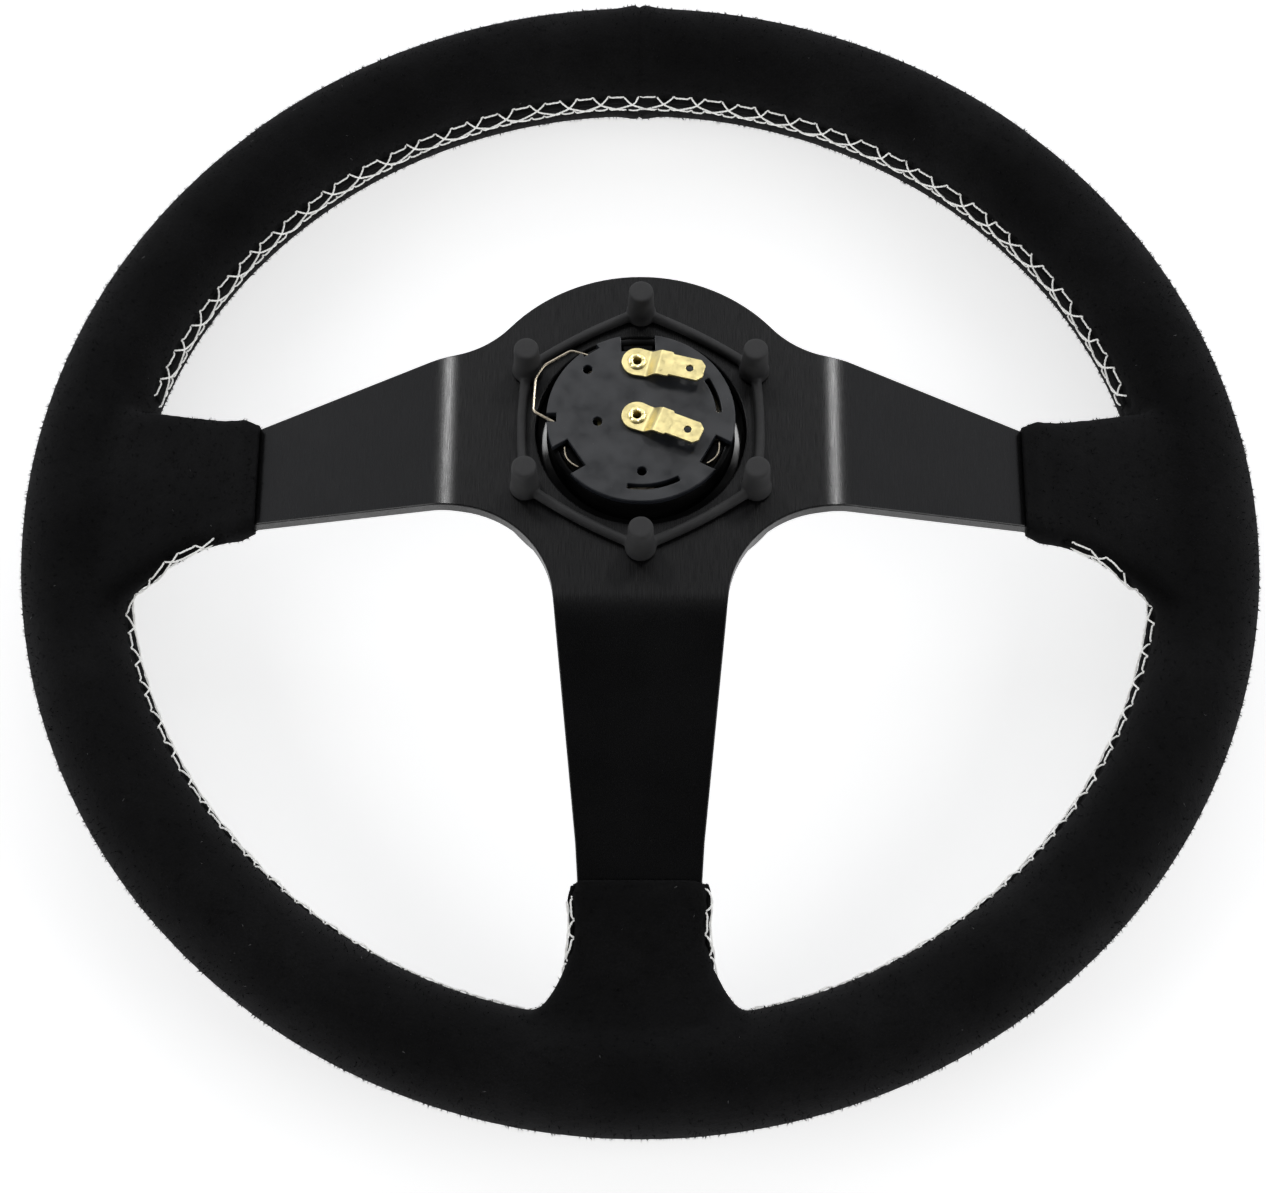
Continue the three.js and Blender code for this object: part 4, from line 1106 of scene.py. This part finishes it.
trim_ring = cut_sheet(
    "trim_ring_turned",
    [circle(trim_radius, steps=128), circle(trim_bore, steps=96)]
    + [circle(trim_hole, polar(screw_circle, a), 32) for a in screw_angles],
    trim_back - trim_front, 0.5 * mm, black_anodised,
)
trim_ring.data.color_attributes.new("worn_edge", "FLOAT_COLOR", "POINT")
for item in trim_ring.data.color_attributes["worn_edge"].data:
    item.color = (0.0, 0.0, 0.0, 1.0)
put_down(trim_ring, (trim_front + trim_back) / 2)
finish_mesh(trim_ring, smooth_angle=15)
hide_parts("trim_ring")
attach(trim_ring, "wheel")


def turn_profile(profile, segments=64, centre=(0.0, 0.0)):
    """Points and faces of a profile of (radius, height), closed, turned about +Z."""
    points, faces = [], []
    count = len(profile)
    for i in range(segments):
        a = 2 * math.pi * i / segments
        points += [(centre[0] + r * math.cos(a), centre[1] + r * math.sin(a), z) for r, z in profile]
        for j in range(count):
            here, there = i * count, ((i + 1) % segments) * count
            k = (j + 1) % count
            faces.append((here + j, there + j, there + k, here + k))
    return points, faces


def piece_from(name, points, faces, material, smooth_angle=30):
    mesh = bpy.data.meshes.new(name)
    mesh.from_pydata(points, [], faces)
    return finish_mesh(new_piece(name, mesh, material), smooth_angle)


black_oxide, tree, shader = new_material("black_oxide_steel", roughness=0.42)
shader.inputs["Specular IOR Level"].default_value = 0.25
where = place(tree)
mottle = noise(tree, where, 900.0, detail=4.0)
tree.links.new(shades(tree, mottle, [(0.3, 0.010), (0.7, 0.035)]), shader.inputs["Base Color"])
tree.links.new(shades(tree, mottle, [(0.3, 0.35), (0.7, 0.55)]), shader.inputs["Roughness"])
relief(tree, shader, mottle, 0.02 * mm, 0.4)


def screw_profile():
    """Half section of a screw: hollow socket, cone head, threaded shank and chamfered tip."""
    profile = [(0.0, screw_front + socket_depth + 0.5 * mm), (socket_radius, screw_front + socket_depth)]
    profile += [(socket_radius, screw_front + 0.15 * mm), (socket_radius + 0.15 * mm, screw_front)]
    profile += [(screw_head - 0.1 * mm, screw_front), (screw_head, screw_front + 0.15 * mm)]
    profile += [(screw_shank, screw_front + screw_head_depth)]
    height = screw_front + screw_head_depth + 1.5 * mm
    while height < screw_tip - 1.2 * mm:
        profile += [(screw_shank, height), (screw_shank - 0.32 * mm, height + thread_pitch / 2)]
        height += thread_pitch
    profile += [(screw_shank - 0.1 * mm, screw_tip - 0.7 * mm)]
    return profile + [(screw_shank - 0.8 * mm, screw_tip), (0.0, screw_tip)]


around_tree, given, result = named_tree("set_on_a_circle", [
    ("Count", "NodeSocketInt"), ("Radius", "NodeSocketFloat"), ("First Angle", "NodeSocketFloat"),
    ("Finish", "NodeSocketMaterial"),
])
stations = add_node(around_tree, "GeometryNodeMeshLine", {
    "Count": given["Count"], "Start Location": (0, 0, 0), "Offset": (0, 0, 0),
})
number = add_node(around_tree, "GeometryNodeInputIndex").outputs[0]
turn = maths(around_tree, "MULTIPLY", maths(around_tree, "DIVIDE", number, given["Count"]), -2 * math.pi)
facing = add_node(around_tree, "ShaderNodeCombineXYZ", {
    "Z": maths(around_tree, "ADD", turn, given["First Angle"]),
})
reach_out = add_node(around_tree, "ShaderNodeCombineXYZ", {"X": given["Radius"]})
moved = add_node(around_tree, "GeometryNodeTransform", {
    "Geometry": given["Geometry"], "Translation": reach_out.outputs[0],
})
copies = add_node(around_tree, "GeometryNodeInstanceOnPoints", {
    "Points": stations.outputs["Mesh"], "Instance": moved.outputs["Geometry"],
    "Rotation": facing.outputs[0],
})
real = add_node(around_tree, "GeometryNodeRealizeInstances", {"Geometry": copies.outputs["Instances"]})
finish = add_node(around_tree, "GeometryNodeSetMaterial", {
    "Geometry": real.outputs["Geometry"], "Material": given["Finish"],
})
around_tree.links.new(finish.outputs["Geometry"], result.inputs["Geometry"])

hub_screws = piece_from("hub_screws", *turn_profile(screw_profile(), 30), black_oxide)
# The socket is round in the turned screw. Its points are drawn in to the flats of a hexagon.
for vertex in hub_screws.data.vertices:
    out = math.hypot(vertex.co.x, vertex.co.y)
    in_socket = vertex.co.z < screw_front + socket_depth + 0.01 * mm
    if in_socket and 1.0 * mm < out < socket_radius + 0.01 * mm:
        around = (math.degrees(math.atan2(vertex.co.y, vertex.co.x)) % 60) - 30
        flat = socket_radius * math.cos(math.radians(30)) / math.cos(math.radians(around))
        vertex.co.x, vertex.co.y = vertex.co.x * flat / out, vertex.co.y * flat / out
run_tree(hub_screws, around_tree, {
    "Count": 6, "Radius": screw_circle, "First Angle": math.radians(90), "Finish": black_oxide,
})
finish_mesh(hub_screws, smooth_angle=30)
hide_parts(*[f"hub_screw_{i + 1}" for i in range(6)])
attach(hub_screws, "wheel")

# ---------------------------------------------------------------- screw retainer
# A moulded rubber hexagon: six tapered caps pushed over the screw ends, joined by bars that
# bow outwards. It keeps the screws with the wheel while it is off the car, and pulls off.

retainer_bottom, retainer_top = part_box("screw_retainer")[0].z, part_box("screw_retainer")[1].z
cap_base, cap_top, cap_hole = 4.15 * mm, 3.3 * mm, 2.75 * mm
cap_round = 0.55 * mm
cap_hole_top = screw_tip + 0.3 * mm
bar_width, bar_height, bar_bow = 2.6 * mm, 2.4 * mm, 1.2 * mm

grey_rubber, tree, shader = new_material("grey_rubber", roughness=0.7)
shader.inputs["Specular IOR Level"].default_value = 0.35
where = place(tree)
bloom = noise(tree, where, 150.0, detail=5.0, roughness=0.65)
grain = noise(tree, where, 2600.0, detail=2.0)
tree.links.new(shades(tree, bloom, [
    (0.3, (0.026, 0.026, 0.027)), (0.5, (0.038, 0.038, 0.039)), (0.72, (0.062, 0.062, 0.062)),
]), shader.inputs["Base Color"])
tree.links.new(shades(tree, bloom, [(0.3, 0.6), (0.7, 0.82)]), shader.inputs["Roughness"])
soft = relief(tree, shader, bloom, 0.12 * mm, 0.4)
relief(tree, shader, grain, 0.03 * mm, 0.5, under=soft)

cap_profile = [(0.0, cap_hole_top), (cap_hole, cap_hole_top), (cap_hole, retainer_bottom)]
cap_profile += [(cap_base, retainer_bottom), (cap_base - 0.05 * mm, retainer_bottom + 1.0 * mm)]
cap_profile += [(cap_base - 0.45 * mm, retainer_bottom + 2.4 * mm)]
crown = arc((cap_top - cap_round, retainer_top - cap_round), cap_round, 0, 90, 5)
cap_profile += crown + [(0.0, retainer_top)]
retainer_points, retainer_faces = turn_profile(cap_profile, 40)

# A bar with a rounded back, from the wall of its own cap to the wall of the next.
section = [(-0.5, 0.0), (0.5, 0.0), (0.5, 0.55), (0.42, 0.82), (0.22, 0.97), (0.0, 1.0)]
section += [(-0.22, 0.97), (-0.42, 0.82), (-0.5, 0.55)]
start_at = Vector(polar(screw_circle, 0))
end_at = Vector(polar(screw_circle, -60))
out_from_bar = (start_at + end_at).normalized()
bar_rows = []
for step in range(17):
    share = 0.09 + 0.82 * step / 16
    middle = start_at.lerp(end_at, share) + out_from_bar * 4 * bar_bow * share * (1 - share)
    swell = 1.0 + 0.35 * abs(2 * share - 1) ** 8
    bar_rows.append([
        (
            middle.x - screw_circle + out_from_bar.x * a * bar_width * swell,
            middle.y + out_from_bar.y * a * bar_width * swell,
            retainer_bottom + h * bar_height,
        )
        for a, h in section
    ])
bar_points, bar_faces = skin_over(bar_rows)
first = len(retainer_points)
retainer_points += bar_points
retainer_faces += [tuple(first + i for i in face) for face in bar_faces]
retainer = piece_from("rubber_screw_retainer", retainer_points, retainer_faces, grey_rubber)
run_tree(retainer, around_tree, {
    "Count": 6, "Radius": screw_circle, "First Angle": math.radians(90), "Finish": grey_rubber,
})
moulded = retainer.modifiers.new("moulded", "REMESH")
moulded.mode = "VOXEL"
moulded.voxel_size = 0.33 * mm
freeze(retainer)
points, edges = mesh_arrays(retainer.data)
points = relax(points, edges, 3, 0.5)
points[:, 2] = np.maximum(points[:, 2], retainer_bottom)
set_points(retainer.data, points)
for face in retainer.data.polygons:
    face.use_smooth = True
retainer.data.materials.clear()
retainer.data.materials.append(grey_rubber)
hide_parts("screw_retainer")
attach(retainer, "retainer")

# ---------------------------------------------------------------- horn cup and contact base
# A glossy black cup stands in the bore with its flange behind the trim ring. Its back is a
# satin moulded base with three notches, vent slots and holes, held by a sprung steel wire.

cup_low, cup_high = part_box("horn_cup")
base_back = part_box("horn_base")[1].z
base_thickness = 2.0 * mm
base_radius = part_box("horn_base")[1].x
notch_width, notch_depth, notch_angles = 9.0 * mm, 5.0 * mm, (92, 212, 332)
# The small holes: mm in from the edge and angle. Holes, notches and slots run anticlockwise from +X.
base_hole, base_holes = 1.25 * mm, [(4.9, 135), (13.4, 187), (8.8, 271)]
slot_circle, slot_width, slot_arcs = base_radius - 4.2 * mm, 1.4 * mm, ((4, 33), (260, 299))
upper_terminal = (-1.0 * mm, 16.0 * mm, -14.0)
centre_terminal = (-1.0 * mm, -0.2 * mm, -22.5)
eyelet_hole = 2.1 * mm
clip_notches = [(124.0, 4.6 * mm, 1.5 * mm), (180.6, 2.4 * mm, 2.6 * mm)]
pad_near, pad_far = 19.2 * mm, 23.0 * mm
pad_near_half, pad_far_half = 3.2 * mm, 4.2 * mm
pad_thickness, pad_depth = 0.5 * mm, 2.95 * mm
# The leaf's corners: mm above the base's back and mm from the axis.
leaf_section = [(-2.6, 21.2), (-2.6, 21.5), (-1.0, 21.9), (-1.0, 21.6)]
leaf_half_angle, leaf_bulge = 9, 0.9

gloss_black, tree, shader = new_material("gloss_black_plastic", roughness=0.2)
shader.inputs["Specular IOR Level"].default_value = 0.12
where = place(tree)
smears = noise(tree, where, 130.0, detail=4.0)
tree.links.new(shades(tree, smears, [(0.3, 0.004), (0.7, 0.008)]), shader.inputs["Base Color"])
tree.links.new(shades(tree, smears, [(0.3, 0.08), (0.7, 0.2)]), shader.inputs["Roughness"])
relief(tree, shader, noise(tree, where, 700.0), 0.01 * mm, 0.4)

satin_black, tree, shader = new_material("satin_black_plastic", roughness=0.4)
where = place(tree)
smears = noise(tree, where, 160.0, detail=5.0)
grain = noise(tree, where, 3600.0, detail=2.0)
dust = shades(tree, noise(tree, where, 2300.0, detail=1.0), [(0.79, 0.0), (0.83, 0.6)])
skin_tone = shades(tree, smears, [(0.3, (0.010, 0.012, 0.016)), (0.7, (0.020, 0.023, 0.030))])
tree.links.new(mix(tree, dust, skin_tone, (0.2, 0.2, 0.2, 1.0)), shader.inputs["Base Color"])
tree.links.new(shades(tree, smears, [(0.3, 0.30), (0.7, 0.48)]), shader.inputs["Roughness"])
relief(tree, shader, grain, 0.02 * mm, 0.4)

cup_outer, cup_bore = 24.9 * mm, 23.3 * mm
flange_front, flange_back = 74.5 * mm, 75.7 * mm
ledge_low, ledge_high, ledge_bore = 78.9 * mm, 80.1 * mm, 16.6 * mm
cup_section = eased([
    (cup_bore, cup_low.z), (cup_outer, cup_low.z), (cup_outer, flange_front), (cup_high.x, flange_front),
    (cup_high.x, flange_back), (cup_outer, flange_back), (cup_outer, cup_high.z), (cup_bore, cup_high.z),
    (cup_bore, ledge_high), (ledge_bore, ledge_high), (ledge_bore, ledge_low), (cup_bore, ledge_low),
], radius=0.25 * mm, steps=2)
horn_cup = piece_from("horn_cup_moulding", *turn_profile(cup_section, 128), gloss_black)
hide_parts("horn_cup")


def notched_circle():
    """The base's outline: a circle with three square notches, and two small ones for the clip."""
    outline = []
    notches = [(angle, notch_width, notch_depth) for angle in notch_angles] + clip_notches
    notches.sort()
    for (angle, width, depth), (after, after_width, _) in zip(notches, notches[1:] + notches[:1]):
        turn = math.radians(angle)
        open_angle = math.degrees(math.asin(width / 2 / base_radius))
        next_open = math.degrees(math.asin(after_width / 2 / base_radius))
        for y in (-width / 2, width / 2):
            x = base_radius - depth
            outline.append((
                x * math.cos(turn) - y * math.sin(turn), x * math.sin(turn) + y * math.cos(turn),
            ))
        end = after + (360 if after < angle else 0)
        outline += arc((0, 0), base_radius, angle + open_angle, end - next_open, 24)
    return outline


def slot(start, end):
    outer = arc((0, 0), slot_circle + slot_width / 2, start, end, 16)
    inner = arc((0, 0), slot_circle - slot_width / 2, end, start, 16)
    return eased(outer + inner, radius=0.3 * mm, steps=3)


clip_height = base_back - base_thickness / 2
clip_radius = 0.38 * mm
# The clip's corners: mm from the axis and angle.
clip_points = [
    (23.6, 126.8), (27.6, 132.4), (30.2, 148.4), (30.4, 156.5), (28.45, 175.8), (22.9, 183.0),
]
base_outlines = [notched_circle()]
base_outlines += [
    circle(base_hole, polar(base_radius - inset * mm, angle), 20) for inset, angle in base_holes
]
base_outlines += [circle(eyelet_hole, place_at[:2], 20) for place_at in (upper_terminal, centre_terminal)]
base_outlines += [slot(*ends) for ends in slot_arcs]
horn_base = cut_sheet("horn_contact_base", base_outlines, base_thickness, 0.25 * mm, satin_black)
put_down(horn_base, base_back - base_thickness / 2)
finish_mesh(horn_base, smooth_angle=15)
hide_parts("horn_base")

# A low step stands under each notch, and a curved steel leaf under the two lower ones.
notch_steps = []
for i, angle in enumerate(notch_angles):
    pad = eased([
        (pad_near, -pad_near_half), (pad_far, -pad_far_half),
        (pad_far, pad_far_half), (pad_near, pad_near_half),
    ], 0.5 * mm)
    block = cut_sheet(f"notch_step_{i + 1}", [pad], pad_thickness, 0.15 * mm, gloss_black)
    put_down(block, base_back - pad_depth, angle=angle)
    finish_mesh(block, smooth_angle=15)
    notch_steps.append(block)
notch_leaves = []
for i, angle in enumerate(notch_angles[1:]):
    rows = []
    for step in range(13):
        turn = angle - leaf_half_angle + 2 * leaf_half_angle * step / 12
        bulge = leaf_bulge * math.sin(math.pi * step / 12)
        rows.append([
            (*polar((radius + bulge) * mm, turn), base_back + lift * mm) for lift, radius in leaf_section
        ])
    leaf = piece_from(f"notch_leaf_{i + 1}", *skin_over(rows), spring_steel)
    notch_leaves.append(leaf)


def wire_piece(name, path, radius, material, sides=12):
    """A round wire along a path of points, with rounded ends."""
    line = bpy.data.curves.new(name, "CURVE")
    line.dimensions = "3D"
    line.bevel_depth = radius
    line.bevel_resolution = sides // 4
    line.use_fill_caps = True
    spline = line.splines.new("POLY")
    spline.points.add(len(path) - 1)
    for point, place_at in zip(spline.points, path):
        point.co = (*place_at, 1.0)
    piece = new_piece(name, freeze(add_object(name + "_line", line)), material)
    return finish_mesh(piece, smooth_angle=50)


def rounded_path(corners, cut, steps=8):
    """A path through corners, each turned on a short curve."""
    path = [corners[0]]
    for before, corner, after in zip(corners, corners[1:], corners[2:]):
        start = corner + (before - corner).normalized() * min(cut, 0.45 * (before - corner).length)
        end = corner + (after - corner).normalized() * min(cut, 0.45 * (after - corner).length)
        for i in range(steps + 1):
            t = i / steps
            path.append(start * (1 - t) ** 2 + corner * 2 * t * (1 - t) + end * t ** 2)
    return path + [corners[-1]]


clip_corners = [Vector((*polar(r * mm, a), clip_height)) for r, a in clip_points]
wire_clip = wire_piece("sprung_wire_clip", rounded_path(clip_corners, 1.1 * mm), clip_radius, spring_steel)
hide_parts("wire_clip")

# ---------------------------------------------------------------- brass terminals and eyelets
# Two stamped brass blades, each with a ring end riveted down by a hollow eyelet, a step up
# and a chamfered tab with a hole. The eyelet's end is rolled over in a star.

blade_thickness = 0.8 * mm
terminal_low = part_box("terminal_upper")[0].z
ring_end, shoulder_half, shoulder_end = 4.1 * mm, 3.7 * mm, 9.0 * mm
blade_half, blade_tip, tip_chamfer = 3.15 * mm, 18.2 * mm, 1.4 * mm
step_start, step_end, step_height = 3.4 * mm, 5.6 * mm, 2.6 * mm
tab_hole, tab_hole_at = 1.0 * mm, 14.3 * mm
eyelet_low = {"upper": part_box("eyelet_upper")[0].z, "centre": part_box("eyelet_centre")[0].z}
eyelet_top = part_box("eyelet_upper")[1].z
eyelet_wall, eyelet_bore, eyelet_head, eyelet_roll = 1.8 * mm, 1.1 * mm, 3.1 * mm, 2.45 * mm


def terminal_outline():
    side = arc((0, 0), ring_end, 180, 84, 16)
    side += [(step_end, shoulder_half, 1.0 * mm), (shoulder_end, shoulder_half, 0.5 * mm)]
    side += [(shoulder_end + 0.3 * mm, blade_half, 0.3 * mm), (blade_tip - tip_chamfer, blade_half, 0.3 * mm)]
    side += [(blade_tip, blade_half - tip_chamfer, 0.3 * mm)]
    return eased(side + [(p[0], -p[1], *p[2:]) for p in reversed(side[1:])], steps=4)


def step_up(point):
    share = ramp(point.x, step_start - 0.6 * mm, step_end + 0.6 * mm)
    return Vector((point.x, point.y, point.z + step_height * float(share)))


def eyelet_profile(low):
    """Half section of a hollow eyelet, headed below and rolled over above."""
    top = eyelet_top - 0.3 * mm
    lip = [(eyelet_bore + 0.1 * mm, top - 0.12 * mm), (1.45 * mm, top), (1.9 * mm, top - 0.02 * mm)]
    lip += [(2.25 * mm, top - 0.1 * mm), (eyelet_roll, top - 0.24 * mm), (eyelet_roll, top - 0.5 * mm)]
    lip += [(eyelet_wall, top - 0.5 * mm)]
    foot = [(eyelet_wall, low + 0.5 * mm), (eyelet_head, low + 0.5 * mm), (eyelet_head, low)]
    return lip + foot + [(eyelet_bore, low), (eyelet_bore, top - 0.4 * mm)]


for name, (x, y, angle) in (("upper", upper_terminal), ("centre", centre_terminal)):
    terminal = cut_sheet(
        "brass_terminal_" + name,
        [terminal_outline(), circle(eyelet_hole, steps=24), circle(tab_hole, (tab_hole_at, 0), 20)],
        blade_thickness, 0.12 * mm, pale_brass,
    )
    stations = np.arange(2.4, 6.8, 0.3) * mm
    score(terminal, [((station, 0, 0), (1, 0, 0)) for station in stations])
    move_points(terminal, step_up)
    put_down(terminal, terminal_low + blade_thickness / 2, (x, y), angle)
    finish_mesh(terminal, smooth_angle=15)
    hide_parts("terminal_" + name)
    eyelet = piece_from(
        "brass_eyelet_" + name, *turn_profile(eyelet_profile(eyelet_low[name]), 48, (x, y)), pale_brass,
    )
    for vertex in eyelet.data.vertices:
        out = Vector((vertex.co.x - x, vertex.co.y - y))
        if vertex.co.z > eyelet_top - 0.6 * mm and out.length > 1.4 * mm:
            split = abs(math.cos(2.5 * math.atan2(out.y, out.x))) ** 10
            vertex.co.z -= 0.14 * mm * split
    finish_mesh(eyelet, smooth_angle=35)
    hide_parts("eyelet_" + name)
    for piece in (terminal, eyelet):
        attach(piece, "wheel")
for piece in (horn_cup, horn_base, wire_clip, *notch_steps, *notch_leaves):
    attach(piece, "wheel")

# ---------------------------------------------------------------- horn button
# A domed black cap that the driver presses, with a plain badge plate in a bright ring. A
# coiled spring between the cap and the cup's ledge returns it.

cap_low, cap_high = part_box("horn_cap")
badge_seat, badge_seat_radius = 63.7 * mm, 17.1 * mm
badge_ring_outer, badge_ring_bore = 16.8 * mm, 14.5 * mm
cap_inner_face, cap_skirt_end, cap_skirt_bore = 66.9 * mm, 71.3 * mm, 25.5 * mm
stem_outer, stem_inner = 16.0 * mm, 13.5 * mm
cap_section = eased([
    (0.0, badge_seat, 0.0), (badge_seat_radius, badge_seat, 0.1 * mm),
    (badge_seat_radius, cap_low.z, 0.3 * mm),
    (24.2 * mm, cap_low.z + 0.96 * mm, 1.5 * mm), (25.9 * mm, cap_low.z + 2.4 * mm, 0.8 * mm),
    (cap_high.x, cap_low.z + 3.84 * mm, 0.6 * mm), (cap_high.x, cap_skirt_end, 0.3 * mm),
    (cap_skirt_bore, cap_skirt_end, 0.2 * mm), (cap_skirt_bore, cap_inner_face, 0.3 * mm),
    (stem_outer, cap_inner_face, 0.3 * mm), (stem_outer, cap_high.z, 0.3 * mm),
    (stem_inner, cap_high.z, 0.3 * mm), (stem_inner, cap_inner_face, 0.3 * mm), (0.0, cap_inner_face, 0.0),
], steps=4)
horn_cap = piece_from("horn_button_cap", *turn_profile(cap_section, 128), gloss_black, 40)
badge_disc_low, badge_disc_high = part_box("horn_emblem_disc")
badge_disc_section = eased([
    (0.0, badge_disc_low.z, 0.0), (badge_disc_high.x, badge_disc_low.z, 0.12 * mm),
    (badge_disc_high.x, badge_disc_high.z, 0.05 * mm), (0.0, badge_disc_high.z, 0.0),
], steps=3)
badge_disc = piece_from("badge_plate", *turn_profile(badge_disc_section, 96), black_anodised, 40)
badge_ring_low, badge_ring_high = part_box("horn_emblem_ring")
badge_ring_section = eased([
    (badge_ring_bore, badge_ring_low.z), (badge_ring_outer, badge_ring_low.z),
    (badge_ring_outer, badge_ring_high.z), (badge_ring_bore, badge_ring_high.z),
], 0.3 * mm, steps=4)
badge_ring = piece_from("badge_ring", *turn_profile(badge_ring_section, 96), bare_aluminium, 40)
for piece, node, finish_slot in (
    (horn_cap, "horn_cap", "plastic"),
    (badge_disc, "horn_emblem_disc", "anodised"),
    (badge_ring, "horn_emblem_ring", "aluminium"),
):
    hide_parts(node)
    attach(piece, "horn_button")

spring_low, spring_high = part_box("horn_spring")
coil_radius, coil_wire, coil_turns = 19.65 * mm, 0.7 * mm, 4
coil_path = []
for step in range(coil_turns * 36 + 1):
    share = step / (coil_turns * 36)
    rise = min(max((share * coil_turns - 0.6) / (coil_turns - 1.2), 0.0), 1.0)
    low, high = spring_low.z + coil_wire, spring_high.z - coil_wire
    height = low + (high - low) * (0.85 * rise + 0.15 * share)
    coil_path.append((*polar(coil_radius, share * coil_turns * 360), height))
horn_spring = wire_piece("horn_return_spring", coil_path, coil_wire, spring_steel, sides=8)
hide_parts("horn_spring")
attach(horn_spring, "wheel")
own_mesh(horn_spring)

# ---------------------------------------------------------------- size
# The box of the imported model and the box of the finished wheel, for comparison.


def box_as_list(corners):
    return [[round(float(value), 6) for value in corner] for corner in corners]


sizes = {"cad": box_as_list(cad_box), "visual": box_as_list(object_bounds())}
